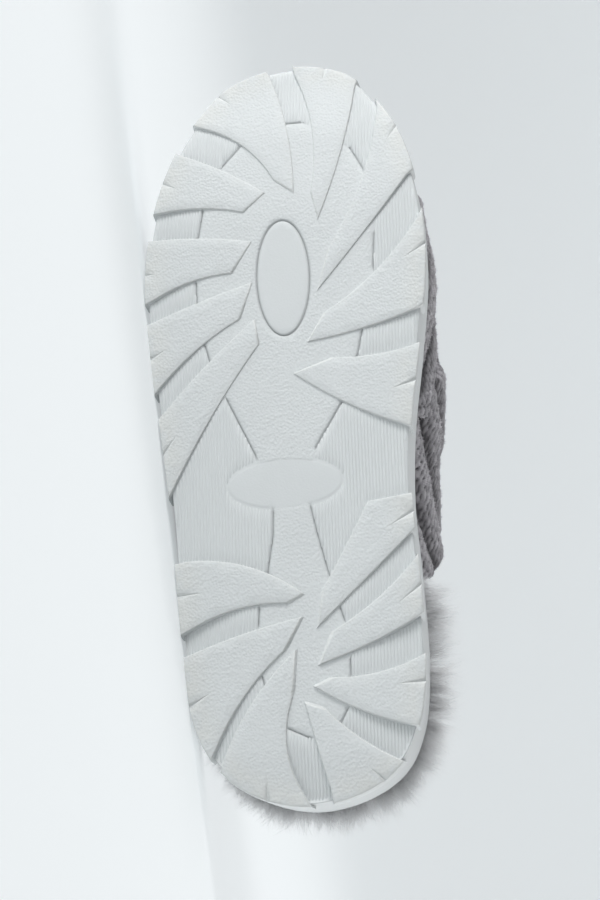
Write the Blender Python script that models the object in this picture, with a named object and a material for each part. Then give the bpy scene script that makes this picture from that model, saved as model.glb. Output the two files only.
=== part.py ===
"""A crossed-band house slipper for the right foot, lying on its outer side.

Three pieces are put together: a moulded outsole with curved lugs, a footbed covered in long fur, and an upper
of two padded knit bands that cross over the instep and are joined where they cross.

Sizes are millimetres in the shoe's own frame: x runs from the heel end to the toe, y to the inner side of the
foot and z up from the ground under the lugs. The meshes are written in metres.
"""

import functools
import math
from collections import namedtuple

import bmesh
import bpy
import numpy as np
from mathutils import Matrix, Vector

MM = 0.001
GAP = 0.3  # between pieces that touch

# Outline of the lug faces, heel to toe: distance along, and reach to the outer and the inner side.
SOLE_LENGTH = 257.6
HEEL_TIP_ACROSS = 0.5
TOE_TIP_ACROSS = 2.0
Station = namedtuple("Station", "along lateral medial")
OUTLINE = (
    Station(4.0, 17.0, 18.5),
    Station(12.0, 27.8, 30.0),
    Station(25.0, 35.5, 36.4),
    Station(45.0, 39.0, 39.0),
    Station(75.0, 41.3, 38.4),
    Station(100.0, 43.0, 37.2),
    Station(125.0, 45.8, 38.6),
    Station(150.0, 48.9, 42.3),
    Station(180.0, 50.5, 45.7),
    Station(205.0, 47.0, 44.3),
    Station(226.0, 39.8, 39.2),
    Station(241.6, 30.3, 30.9),
    Station(252.2, 19.8, 21.6),
)
SPINE_START = 46.0  # the middle line that the rings of the sole and the footbed shrink to
SPINE_END = 206.0
SPINE_ACROSS = -1.0
SAMPLES_PER_STATION = 3

# Heights of the sole: how far the lug faces lift off the ground, and the upper face.
Level = namedtuple("Level", "along lift top")
LEVELS = (
    Level(0.0, 1.2, 27.0),
    Level(18.0, 0.0, 26.5),
    Level(90.0, 0.0, 23.5),
    Level(150.0, 0.0, 21.0),
    Level(195.0, 0.0, 20.0),
    Level(226.0, 1.8, 20.6),
    Level(257.6, 6.0, 23.0),
)

# Rings of the sole's body, from the middle of the floor round the side to the middle of the top.
SoleRing = namedtuple("SoleRing", "inset from_floor from_top")
FLOOR_MIDDLE_HEIGHT = 1.4
SOLE_RINGS = (
    SoleRing(24.0, FLOOR_MIDDLE_HEIGHT, None),
    SoleRing(12.0, 2.2, None),
    SoleRing(3.0, 3.4, None),
    SoleRing(1.5, 5.4, None),
    SoleRing(0.9, 9.0, None),
    SoleRing(0.9, None, 2.0),
    SoleRing(2.2, None, 0.0),
    SoleRing(14.0, None, 0.0),
)

# Lugs: each runs from an inner tip to the rim between two bowed edges. Points are (along, across), and a bow is
# how far the edge swings to the left of the way out to the rim.
Lug = namedtuple("Lug", "name lead_from lead_bow lead_rim trail_from trail_bow trail_rim shoulder")
LUGS = (
    Lug("toe_outer", (207.5, 1.7), 2.3, (255.7, -6.7), (213.0, -5.2), 4.0, (237.2, -34.0), None),
    Lug("toe_inner", (197.0, 9.8), 1.9, (249.7, 24.0), (207.5, 7.6), 3.8, (256.8, 1.5), None),
    Lug("ball_inner_1", (171.5, 9.0), 0.6, (213.0, 42.5), (186.0, 13.1), 3.9, (241.6, 31.5), None),
    Lug("ball_inner_2", (153.2, 5.0), 1.4, (163.0, 44.5), (163.0, 10.9), 3.1, (197.5, 45.5), None),
    Lug("ball_inner_3", (142.3, 0.0), 1.8, (121.3, 38.0), (146.8, 13.0), 1.3, (149.5, 42.0), None),
    Lug("ball_outer_3", (162.5, -13.0), 1.1, (129.9, -46.0), (153.6, -11.7), 1.4, (102.5, -43.2), None),
    Lug("ball_outer_2", (175.8, -13.6), 0.5, (163.5, -49.7), (163.1, -18.0), 1.9, (138.7, -47.5), None),
    Lug("ball_outer_1", (190.6, -13.5), 1.2, (193.8, -49.5), (179.8, -20.4), 2.3, (170.6, -50.2), None),
    Lug("toe_side", (208.4, -8.5), 1.1, (226.5, -39.4), (201.7, -16.0), 1.8, (203.7, -47.2), None),
    Lug("waist_inner", (57.2, 5.2), 0.0, (87.4, 37.8), (69.0, 7.0), 0.0, (98.9, 37.2), (96.9, 22.6)),
    Lug("heel_inner_1", (44.8, 5.3), 1.1, (59.1, 38.8), (55.2, 9.8), 1.8, (78.6, 38.3), None),
    Lug("heel_inner_2", (37.5, 3.4), 1.7, (23.4, 36.0), (40.2, 9.2), 2.1, (46.3, 39.0), None),
    Lug("heel_inner_3", (32.4, 0.0), 0.2, (2.4, 8.0), (30.2, 6.4), 1.4, (12.6, 30.4), None),
    Lug("heel_outer_3", (49.4, -2.8), 2.9, (12.2, -28.0), (34.7, -4.1), 4.3, (0.8, 0.3), None),
    Lug("heel_outer_2", (60.2, -0.5), 1.0, (49.1, -39.3), (49.7, -6.3), 2.6, (15.9, -30.6), None),
    Lug("heel_outer_1", (68.0, 0.3), 4.4, (80.6, -41.6), (65.2, -4.7), 3.0, (56.3, -40.0), None),
)
LUG_EDGE_POINTS = 7
LUG_RIM_STEP = 5.0
# Rings of a lug from its face up to its root in the body: rise, spread of its edges, inset of its rim.
LugRing = namedtuple("LugRing", "height spread rim_inset")
LUG_RINGS = (
    LugRing(0.0, 0.0, 0.4),
    LugRing(6.0, 1.0, 0.2),
    LugRing(9.5, 1.2, 2.4),
)
LUG_CORNER_LIMIT = 4.5

# Upper: an arch over the foot, and two bands laid on it. A turn runs from 0 at the inner rim to 1 at the outer rim.
Instep = namedtuple("Instep", "along height inner_bulge outer_bulge")
INSTEP = (
    Instep(60.0, 60.0, 8.6, 8.0),
    Instep(110.0, 62.0, 8.2, 7.4),
    Instep(150.0, 57.0, 4.2, 6.0),
    Instep(190.0, 49.0, 2.6, 5.2),
    Instep(222.0, 43.0, 2.2, 4.6),
)
ARCH_FULLNESS = 2.3
ARCH_RIM_INSET = 2.2
INSTEP_LEAN = 2.4  # the instep is higher on the inner side
BandRow = namedtuple("BandRow", "turn rear front")
UNDER_BAND = (
    BandRow(0.0, 132.0, 216.0),
    BandRow(0.18, 131.0, 206.0),
    BandRow(0.5, 115.0, 187.0),
    BandRow(0.82, 100.0, 166.0),
    BandRow(1.0, 75.0, 144.0),
)
OVER_BAND = (
    BandRow(0.0, 76.0, 141.0),
    BandRow(0.18, 101.0, 164.0),
    BandRow(0.5, 117.0, 185.0),
    BandRow(0.82, 134.0, 204.0),
    BandRow(1.0, 136.0, 214.0),
)
BAND_THICKNESS = 4.5
BAND_JOIN = 0.8  # how far the upper band is pressed into the lower one
BAND_DRAPE = 14.0  # length over which the upper band comes down beside the lower one
BAND_END_DRAPE = 0.14
BAND_SECTIONS = 36
BAND_FACE_POINTS = 10

# Footbed: a board with fur on it, standing free at the heel and the toe and pressed flat between the bands.
FOOTBED_FREE_INSET = 2.6
FOOTBED_BAND_INSET = 9.0
FOOTBED_BAND_START = 61.0
FOOTBED_BAND_END = 232.0
FOOTBED_FADE = 10.0
FOOTBED_SAMPLES = 5
FurRing = namedtuple("FurRing", "inset height lock_share lock_phase")
FUR_RINGS = (
    FurRing(1.6, 0.0, 0.0, 0),
    FurRing(0.0, 3.2, 1.0, 0),
    FurRing(0.8, 7.6, 0.75, 1),
    FurRing(5.0, 10.6, 0.35, 0),
    FurRing(14.0, 9.6, 0.3, 1),
    FurRing(24.0, 9.0, 0.0, 0),
)
# Reach of the fur locks past the board. On the outer side, which it lies on, they are pressed short.
LOCK_BACK = 6.5
LOCK_INNER = 9.0
LOCK_OUTER = 2.2
LOCK_TOE = 2.4
LOCK_DROOP = 1.2
LOCK_UNEVENNESS = 0.28

FINISHES = {
    "outsole": ((0.69, 0.71, 0.71), 0.62),
    "fur_footbed": ((0.56, 0.56, 0.57), 0.95),
    "upper": ((0.37, 0.36, 0.38), 0.95),
}


def smooth_column(rows, column, along):
    """Value of a table's column at a distance along, through every row without overshoot."""
    at = np.array([row[0] for row in rows])
    values = np.array([getattr(row, column) for row in rows])
    steps = np.diff(values) / np.diff(at)
    slopes = np.zeros(len(at))
    for i in range(1, len(at) - 1):
        if steps[i - 1] * steps[i] > 0.0:
            slopes[i] = 2.0 * steps[i - 1] * steps[i] / (steps[i - 1] + steps[i])
    along = min(max(along, at[0]), at[-1])
    i = min(int(np.searchsorted(at, along, side="right")) - 1, len(at) - 2)
    width = at[i + 1] - at[i]
    t = (along - at[i]) / width
    return (
        values[i] * (1 + 2 * t) * (1 - t) ** 2
        + slopes[i] * width * t * (1 - t) ** 2
        + values[i + 1] * t * t * (3 - 2 * t)
        + slopes[i + 1] * width * t * t * (t - 1)
    )


def smoothstep(low, high, value):
    t = min(max((value - low) / (high - low), 0.0), 1.0)
    return t * t * (3 - 2 * t)


def lug_level(along):
    return smooth_column(LEVELS, "lift", along)


def sole_top(along):
    return smooth_column(LEVELS, "top", along)


def between(a, b, low, high, t):
    """Value at t on the line that is a at low and b at high."""
    return (a * (high - t) + b * (t - low)) / (high - low)


def spline_span(before, start, end, after, count):
    """Points from start up to end on a centripetal spline through four points."""
    k0 = 0.0
    k1 = k0 + math.sqrt(np.linalg.norm(start - before))
    k2 = k1 + math.sqrt(np.linalg.norm(end - start))
    k3 = k2 + math.sqrt(np.linalg.norm(after - end))
    points = []
    for t in np.linspace(k1, k2, count, endpoint=False):
        middle = between(start, end, k1, k2, t)
        left = between(between(before, start, k0, k1, t), middle, k0, k2, t)
        right = between(middle, between(end, after, k2, k3, t), k1, k3, t)
        points.append(between(left, right, k1, k2, t))
    return points


@functools.lru_cache(maxsize=None)
def outline_loop(per_station):
    """Closed outline of the lug faces from the heel end along the outer side to the toe and back."""
    corners = [np.array((0.0, HEEL_TIP_ACROSS))]
    corners += [np.array((row.along, -row.lateral)) for row in OUTLINE]
    corners += [np.array((SOLE_LENGTH, TOE_TIP_ACROSS))]
    corners += [np.array((row.along, row.medial)) for row in reversed(OUTLINE)]
    count = len(corners)
    loop = []
    for i in range(count):
        around = [corners[(i + k) % count] for k in (-1, 0, 1, 2)]
        loop += spline_span(*around, per_station)
    return np.array(loop)


def outward_rays(loop):
    """Unit vectors from the sole's middle line out to each point of a loop."""
    spine = np.stack((np.clip(loop[:, 0], SPINE_START, SPINE_END), np.full(len(loop), SPINE_ACROSS)), axis=1)
    rays = loop - spine
    return rays / np.linalg.norm(rays, axis=1)[:, None]


def winding(loop):
    """1 for a loop that runs anticlockwise in x and y, and -1 for one that runs clockwise."""
    following = np.roll(loop, -1, axis=0)
    area = np.sum(loop[:, 0] * following[:, 1] - following[:, 0] * loop[:, 1])
    return 1.0 if area > 0 else -1.0


def rings_to_faces(ring_count, ring_size):
    """Faces of a stack of rings, with both ends closed by strips that join the loop's two sides."""
    faces = []
    for r in range(ring_count - 1):
        for k in range(ring_size):
            here, there = r * ring_size, (r + 1) * ring_size
            following = (k + 1) % ring_size
            faces.append((here + k, here + following, there + following, there + k))
    for start, flip in ((0, True), ((ring_count - 1) * ring_size, False)):
        for k in range(ring_size // 2):
            corners = (k, k + 1, ring_size - k - 1, (ring_size - k) % ring_size)
            corners = [start + corner for corner in dict.fromkeys(corners)]
            faces.append(tuple(reversed(corners)) if flip else tuple(corners))
    return [face for face in faces if len(face) > 2]


def add_piece(name, points, faces, finish, parent):
    """A named mesh object, its points given in millimetres, with its own material."""
    mesh = bpy.data.meshes.new(name)
    mesh.from_pydata([tuple(MM * c for c in p) for p in points], [], faces)
    mesh.validate()
    shaped = bmesh.new()
    shaped.from_mesh(mesh)
    bmesh.ops.triangulate(shaped, faces=shaped.faces)
    bmesh.ops.recalc_face_normals(shaped, faces=shaped.faces)
    shaped.to_mesh(mesh)
    shaped.free()
    mesh.shade_smooth()
    mesh.set_sharp_from_angle(angle=math.radians(40.0))
    piece = bpy.data.objects.new(name, mesh)
    piece.parent = parent
    bpy.context.scene.collection.objects.link(piece)
    if finish:
        colour, roughness = FINISHES[finish]
        material = bpy.data.materials.new(finish)
        material.use_nodes = True
        shader = material.node_tree.nodes["Principled BSDF"]
        shader.inputs["Base Color"].default_value = (*colour, 1.0)
        shader.inputs["Roughness"].default_value = roughness
        shader.inputs["Metallic"].default_value = 0.0
        mesh.materials.append(material)
    return piece


def join_pieces(piece, other):
    """Makes piece one solid with other, which stays in the scene as a hidden guide."""
    other.hide_render = True
    other.display_type = "WIRE"
    union = piece.modifiers.new("join_" + other.name, "BOOLEAN")
    union.operation = "UNION"
    union.solver = "EXACT"
    union.object = other


def sole_body():
    """Points and faces of the sole without its lugs."""
    loop = outline_loop(SAMPLES_PER_STATION)
    rays = outward_rays(loop)
    points = []
    for ring in SOLE_RINGS:
        for at, ray in zip(loop, rays):
            x, y = at - ring.inset * ray
            z = sole_top(x) - ring.from_top if ring.from_floor is None else lug_level(x) + ring.from_floor
            points.append((x, y, z))
    return points, rings_to_faces(len(SOLE_RINGS), len(loop))


def bowed_edge(start, end, bow, count):
    """Points from start to end on an arc-like curve that swings to the left by bow at its middle."""
    start, end = np.array(start), np.array(end)
    way = (end - start) / np.linalg.norm(end - start)
    left = np.array((-way[1], way[0]))
    return [start + (end - start) * t + left * (4 * bow * t * (1 - t)) for t in np.linspace(0, 1, count)]


def rim_stretch(loop, first, last):
    """Outline points from the one nearest first to the one nearest last, the short way round."""
    count = len(loop)
    start = int(np.argmin(np.linalg.norm(loop - np.array(first), axis=1)))
    stop = int(np.argmin(np.linalg.norm(loop - np.array(last), axis=1)))
    forward = (stop - start) % count
    step = 1 if forward <= count - forward else -1
    spans = min(forward, count - forward)
    length = sum(
        np.linalg.norm(loop[(start + step * (k + 1)) % count] - loop[(start + step * k) % count]) for k in range(spans)
    )
    parts = max(2, round(length / LUG_RIM_STEP))
    return [loop[(start + step * round(spans * k / parts)) % count] for k in range(parts + 1)]


def lug_plan(lug, loop):
    """Closed plan of one lug, anticlockwise, with a mark for the points that lie on the sole's rim."""
    lead = bowed_edge(lug.lead_from, lug.lead_rim, lug.lead_bow, LUG_EDGE_POINTS)
    if lug.shoulder:
        trail = bowed_edge(lug.trail_from, lug.shoulder, lug.trail_bow, LUG_EDGE_POINTS)
        trail += [np.array(lug.trail_rim)]
    else:
        trail = bowed_edge(lug.trail_from, lug.trail_rim, lug.trail_bow, LUG_EDGE_POINTS)
    rim = rim_stretch(loop, lug.lead_rim, lug.trail_rim)
    plan = lead[:-1] + rim + trail[-2::-1]
    on_rim = [False] * (len(lead) - 1) + [True] * len(rim) + [False] * (len(trail) - 1)
    if winding(np.array(plan)) < 0:
        plan.reverse()
        on_rim.reverse()
    return np.array(plan), on_rim


def offset_plan(plan, on_rim, spread, rim_inset):
    """An anticlockwise plan with its rim drawn in and its other sides spread, kept sharp at its corners."""
    following = np.roll(plan, -1, axis=0)
    sides = following - plan
    sides /= np.linalg.norm(sides, axis=1)[:, None]
    normals = np.stack((sides[:, 1], -sides[:, 0]), axis=1)
    count = len(plan)
    moves = [-rim_inset if on_rim[k] and on_rim[(k + 1) % count] else spread for k in range(count)]
    moved = []
    for k in range(count):
        pair = np.array((normals[k - 1], normals[k]))
        wanted = np.array((moves[k - 1], moves[k]))
        if abs(np.linalg.det(pair)) > 0.25:
            shift = np.linalg.solve(pair, wanted)
        else:
            middle = pair.sum(axis=0)
            shift = middle / np.linalg.norm(middle) * wanted.mean()
        length = np.linalg.norm(shift)
        moved.append(plan[k] + shift * min(1.0, LUG_CORNER_LIMIT / max(length, 1e-6)))
    return moved


def lug_solids():
    """Points and faces of all the lugs, each a closed solid rooted in the sole's body."""
    loop = outline_loop(per_station=24)
    points, faces = [], []
    for lug in LUGS:
        plan, on_rim = lug_plan(lug, loop)
        size, start = len(plan), len(points)
        for ring in LUG_RINGS:
            for x, y in offset_plan(plan, on_rim, ring.spread, ring.rim_inset):
                points.append((x, y, lug_level(x) + ring.height))
        for r in range(len(LUG_RINGS) - 1):
            for k in range(size):
                here, there, following = start + r * size, start + (r + 1) * size, (k + 1) % size
                faces.append((here + k, here + following, there + following, there + k))
        root = start + (len(LUG_RINGS) - 1) * size
        faces.append(tuple(start + k for k in reversed(range(size))))
        faces.append(tuple(root + k for k in range(size)))
    return points, faces


def side_reach(along):
    """How far the outline reaches to the outer and to the inner side, at a distance along."""
    loop = outline_loop(SAMPLES_PER_STATION)
    half = len(loop) // 2
    outer, inner = loop[: half + 1], np.vstack((loop[half:], loop[:1]))[::-1]
    return -np.interp(along, outer[:, 0], outer[:, 1]), np.interp(along, inner[:, 0], inner[:, 1])


def arch_point(along, turn):
    """Outer face of the arch that the bands lie on."""
    lateral, medial = side_reach(along)
    half = (lateral + medial) / 2 - ARCH_RIM_INSET
    middle = (medial - lateral) / 2
    cosine, sine = math.cos(math.pi * turn), math.sin(math.pi * turn)
    rise = abs(sine) ** (2 / ARCH_FULLNESS)
    side = math.copysign(1.0, cosine)
    bulge = smooth_column(INSTEP, "inner_bulge" if side > 0 else "outer_bulge", along) * 4 * rise * (1 - rise)
    across = middle + side * (half * abs(cosine) ** (2 / ARCH_FULLNESS) + bulge) + INSTEP_LEAN * rise
    up = sole_top(along) + GAP + smooth_column(INSTEP, "height", along) * rise
    return np.array((along, across, up))


def arch_normal(along, turn):
    """Unit normal of the arch, pointing away from the foot."""
    step, small = 1.0, 0.004
    low, high = max(turn - small, 0.0), min(turn + small, 1.0)
    around = arch_point(along, high) - arch_point(along, low)
    forward = arch_point(along + step, turn) - arch_point(along - step, turn)
    if turn in (0.0, 1.0):
        around = np.array((0.0, 0.0, around[2]))
        forward[2] = 0.0
    normal = np.cross(around, forward)
    return normal / np.linalg.norm(normal)


def band_lift(along, turn):
    """How far the over band stands off the arch, to lie on the under band."""
    rear = smooth_column(UNDER_BAND, "rear", turn)
    front = smooth_column(UNDER_BAND, "front", turn)
    beside = max(rear - along, along - front, 0.0)
    ends = smoothstep(0.0, BAND_END_DRAPE, min(turn, 1.0 - turn))
    return (BAND_THICKNESS - BAND_JOIN) * (1.0 - smoothstep(0.0, BAND_DRAPE, beside)) * ends


def band_solid(rows, lifted):
    """Points and faces of one band: a padded strip with rounded edges, from the inner rim to the outer rim."""
    points = []
    for turn in np.linspace(0.0, 1.0, BAND_SECTIONS + 1):
        rear = smooth_column(rows, "rear", turn)
        front = smooth_column(rows, "front", turn)
        shares = np.linspace(0.0, 1.0, BAND_FACE_POINTS)
        outer, inner = [], []
        for share in shares:
            along = rear + (front - rear) * share
            lift = band_lift(along, turn) if lifted else 0.0
            edge = 0.2 * BAND_THICKNESS if share in (0.0, 1.0) else 0.0
            surface, normal = arch_point(along, turn), arch_normal(along, turn)
            outer.append(surface + normal * (lift - edge))
            inner.append(surface + normal * (lift - BAND_THICKNESS + edge))
        points += outer + inner[::-1]
    size = 2 * BAND_FACE_POINTS
    faces = []
    for r in range(BAND_SECTIONS):
        for k in range(size):
            here, there, following = r * size, (r + 1) * size, (k + 1) % size
            faces.append((here + k, here + following, there + following, there + k))
    for start in (0, BAND_SECTIONS * size):
        for k in range(BAND_FACE_POINTS - 1):
            across = size - 1 - k
            faces.append((start + k, start + k + 1, start + across - 1, start + across))
    return points, faces


def footbed_inset(along):
    """How far the board keeps inside the sole's outline."""
    between = smoothstep(FOOTBED_BAND_START, FOOTBED_BAND_START + FOOTBED_FADE, along)
    between *= 1.0 - smoothstep(FOOTBED_BAND_END - FOOTBED_FADE, FOOTBED_BAND_END, along)
    return FOOTBED_FREE_INSET + (FOOTBED_BAND_INSET - FOOTBED_FREE_INSET) * between


def lock_reach(along, ray):
    """Length of the fur locks at a place on the board's edge."""
    behind = 1.0 - smoothstep(FOOTBED_BAND_START, FOOTBED_BAND_START + FOOTBED_FADE, along)
    ahead = smoothstep(FOOTBED_BAND_END - FOOTBED_FADE, FOOTBED_BAND_END, along)
    backward, inward = max(-ray[0], 0.0), ray[1]
    side = LOCK_INNER * max(inward, 0.0) ** 2 + LOCK_OUTER * max(-inward, 0.0) ** 2
    return behind * (side + LOCK_BACK * backward**2) + ahead * LOCK_TOE


def footbed_solid():
    """Points and faces of the fur footbed, with two rows of locks fused round its free edges."""
    loop = outline_loop(FOOTBED_SAMPLES)
    rays = outward_rays(loop)
    points = []
    for ring in FUR_RINGS:
        for k, (at, ray) in enumerate(zip(loop, rays)):
            tip = (k + ring.lock_phase) % 2
            reach = lock_reach(at[0], ray) * ring.lock_share * tip
            reach *= 1.0 + LOCK_UNEVENNESS * math.sin(2.3 * k + 1.7 * ring.lock_phase)
            x, y = at + ray * (reach - ring.inset - footbed_inset(at[0]))
            droop = LOCK_DROOP * tip if ring.lock_share > 0.5 else 0.0
            z = sole_top(x) + GAP + ring.height - droop
            points.append((x, y, z))
    return points, rings_to_faces(len(FUR_RINGS), len(loop))


def solid_points(pieces):
    """Points of each finished piece, in metres in the shoe's own frame."""
    bpy.context.view_layer.update()
    graph = bpy.context.evaluated_depsgraph_get()
    found = {}
    for piece in pieces:
        evaluated = piece.evaluated_get(graph)
        mesh = evaluated.to_mesh()
        found[piece.name] = np.array([v.co[:] for v in mesh.vertices])
        evaluated.to_mesh_clear()
    return found


def lying_pose(points):
    """Matrix that lays the shoe on its outer side, with the sole's edge and the upper on the floor.

    The floor is the face of the hull that touches both of them and looks most nearly to the outer side. The toe
    then points along -X and the lugs face -Y. The origin is on the floor under the middle of the box.
    """
    hull = bmesh.new()
    owner = hull.verts.layers.int.new("owner")
    for index, name in enumerate(("outsole", "upper")):
        for co in points[name]:
            hull.verts.new(co)[owner] = index
    bmesh.ops.convex_hull(hull, input=hull.verts)
    hull.normal_update()
    shared = [face for face in hull.faces if len({vert[owner] for vert in face.verts}) == 2]
    floor = max(shared, key=lambda face: -face.normal.y * math.sqrt(face.calc_area()))
    down = floor.normal.copy()
    hull.free()
    up = -down
    toe = Vector((1.0, 0.0, 0.0))
    world_x = -(toe - up * toe.dot(up)).normalized()
    turn = Matrix((world_x, up.cross(world_x), up)).to_4x4()
    placed = np.vstack(list(points.values())) @ np.array(turn.to_3x3()).T
    low, high = placed.min(axis=0), placed.max(axis=0)
    middle = (low + high) / 2
    return Matrix.Translation((-middle[0], -middle[1], -low[2])) @ turn


def main():
    for obj in list(bpy.data.objects):
        bpy.data.objects.remove(obj)
    shoe = bpy.data.objects.new("slipper", None)
    bpy.context.scene.collection.objects.link(shoe)

    outsole = add_piece("outsole", *sole_body(), "outsole", shoe)
    join_pieces(outsole, add_piece("lugs", *lug_solids(), None, shoe))
    footbed = add_piece("fur_footbed", *footbed_solid(), "fur_footbed", shoe)
    upper = add_piece("upper", *band_solid(UNDER_BAND, False), "upper", shoe)
    join_pieces(upper, add_piece("over_band", *band_solid(OVER_BAND, True), None, shoe))

    shoe.matrix_world = lying_pose(solid_points((outsole, footbed, upper)))


main()
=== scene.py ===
import math

import bmesh
import bpy
import numpy as np
from mathutils import Matrix, Vector
from mathutils.geometry import delaunay_2d_cdt


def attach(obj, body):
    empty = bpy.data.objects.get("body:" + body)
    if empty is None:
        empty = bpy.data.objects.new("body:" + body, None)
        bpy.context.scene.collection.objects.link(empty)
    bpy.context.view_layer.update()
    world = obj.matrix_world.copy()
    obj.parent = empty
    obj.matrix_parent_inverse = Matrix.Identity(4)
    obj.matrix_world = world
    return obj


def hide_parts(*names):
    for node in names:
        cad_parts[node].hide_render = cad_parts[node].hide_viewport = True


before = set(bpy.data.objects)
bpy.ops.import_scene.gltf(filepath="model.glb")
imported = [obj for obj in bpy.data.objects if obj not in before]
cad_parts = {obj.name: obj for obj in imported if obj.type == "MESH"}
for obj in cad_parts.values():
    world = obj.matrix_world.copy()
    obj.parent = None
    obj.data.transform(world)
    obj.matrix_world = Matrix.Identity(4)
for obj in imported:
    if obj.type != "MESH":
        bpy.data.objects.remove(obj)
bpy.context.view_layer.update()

# The sole's body: one moulding of pale foam rubber, with a plain side wall and a shallow floor between the lugs.
# Its floor has a grainy middle, with short incised lines along the edge and two smooth ovals cast into it.
# Sizes are millimetres in the shoe's frame: x from heel to toe, y to the inner side, z up from the ground.
MM = 0.001
# How the shoe lies: a turn of its own axes into the room's, then the place of its heel's ground point.
SHOE_IN_ROOM = np.array(
    (
        (-0.995694, 0.092288, 0.008791),
        (0.0, -0.094825, 0.995494),
        (0.092706, 0.991207, 0.094417),
    )
)
HEEL_IN_ROOM = np.array((0.125756, -0.041307, 0.034164))
SOLE_LENGTH = 257.6
HEEL_TIP = (0.0, 0.5)
TOE_TIP = (SOLE_LENGTH, 2.0)
OUTLINE_ALONG = np.array((4.0, 12.0, 25.0, 45.0, 75.0, 100.0, 125.0, 150.0, 180.0, 205.0, 226.0, 241.6, 252.2))
OUTLINE_LATERAL = np.array((17.0, 27.8, 35.5, 39.0, 41.3, 43.0, 45.8, 48.9, 50.5, 47.0, 39.8, 30.3, 19.8))
OUTLINE_MEDIAL = np.array((18.5, 30.0, 36.4, 39.0, 38.4, 37.2, 38.6, 42.3, 45.7, 44.3, 39.2, 30.9, 21.6))
SPINE_START, SPINE_END, SPINE_ACROSS = 46.0, 206.0, -1.0
LEVEL_ALONG = np.array((0.0, 18.0, 90.0, 150.0, 195.0, 226.0, 257.6))
LEVEL_LIFT = np.array((1.2, 0.0, 0.0, 0.0, 0.0, 1.8, 6.0))
LEVEL_TOP = np.array((27.0, 26.5, 23.5, 21.0, 20.0, 20.6, 23.0))
FLOOR_INSET = np.array((1.6, 12.0, 24.0))
FLOOR_DEPTH = np.array((1.5, 1.1, 0.6))
HEEL_START, HEEL_END, HEEL_DEPTH_SHARE = 50.0, 95.0, 1.6
TOE_START, TOE_DEPTH_SHARE = 215.0, 0.55
RIM_POINTS_PER_SPAN, GRAIN_POINTS_PER_SPAN, OVAL_POINTS = 20, 24, 400
FLOOR_POINT_STEP, FLOOR_ROW_SHARE, FLOOR_ACROSS = 2.1, 0.87, (-52.0, 48.0)
FLOOR_EDGE_GAP, FLOOR_LINE_GAP, FLOOR_TOLERANCE = 1.4, 0.75, 1e-4
LINE_POINT_STEP, LINE_FINE_STEP = 0.9, 0.15
LINE_ROWS = (-0.8, -0.3, 0.0, 0.3, 0.8)
POINTS_AT_ONCE = 4000
WELD_DISTANCE = 1e-6
CRISP_ANGLE = math.radians(50.0)
# Side of the body as (inset from the outline, height over the lug faces), then (inset, depth under the top).
SIDE_LOW = ((1.4, 1.65), (1.3, 2.4), (1.2, 4.5), (1.0, 8.0), (0.9, 10.0))
SIDE_HIGH = ((0.9, 3.0), (0.95, 1.8), (1.25, 0.8), (1.8, 0.2), (2.6, 0.0), (14.0, 0.0))
GRAIN_EDGE = np.array(
    (
        (234.5, 2.2), (227.0, 14.0), (218.8, 23.5), (201.0, 28.5), (184.0, 28.1), (166.0, 25.5), (151.3, 22.1),
        (140.0, 19.5), (130.5, 14.8), (116.6, 6.3), (106.0, 4.2), (97.3, 3.7), (88.0, 5.6), (73.5, 9.1), (60.5, 12.9),
        (52.0, 14.6), (43.5, 14.8), (35.0, 14.4), (28.0, 12.2), (22.5, 5.0), (23.3, -2.5), (30.0, -9.0), (39.5, -13.2),
        (50.0, -14.6), (61.2, -14.2), (69.0, -12.6), (76.3, -10.8), (88.0, -8.8), (96.5, -8.5), (106.0, -10.6),
        (115.5, -14.0), (135.2, -23.0), (151.9, -29.3), (173.8, -32.6), (199.2, -30.7), (222.9, -20.4), (231.5, -8.0),
    )
)
GRAIN_STEP, GRAIN_FADE, SIDE_GRAIN = 0.1, 1.2, 0.15
LINE_DEPTH, LINE_WIDTH = 0.6, 0.26
OVAL_FADE, OVAL_CLEAR, OVAL_GRAIN_FADE = 0.4, 1.0, 0.5
INCISED_LINES = (
    ((234.5, -0.5), (234.5, 5.0)), ((223.0, 21.3), (214.5, 25.6)), ((190.0, 28.5), (178.0, 27.7)),
    ((155.2, 23.0), (147.4, 21.3)), ((226.0, -17.5), (219.8, -23.2)), ((203.8, -29.9), (194.5, -31.5)),
    ((177.5, -32.6), (170.0, -32.6)), ((154.8, -30.0), (149.0, -28.5)), ((63.8, -14.0), (58.7, -14.5)),
    ((41.6, -13.6), (37.4, -12.7)), ((24.7, -5.4), (21.9, 0.3)), ((29.7, 13.1), (26.3, 11.4)),
    ((45.8, 14.8), (41.1, 14.8)), ((62.4, 12.3), (58.6, 13.4)), ((135.2, -23.0), (115.5, -14.0)),
    ((130.5, 14.8), (116.6, 6.3)), ((96.5, -8.5), (88.0, -8.8), (76.3, -10.8)),
    ((97.3, 3.7), (88.0, 5.6), (73.5, 9.1)),
)
OVALS = (  # centre along, centre across, half length, half width, dome, rim depth
    (176.8, -2.8, 20.7, 9.0, 0.06, 0.7),
    (105.0, -4.4, 8.2, 18.8, 0.06, 0.04),
)


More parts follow.
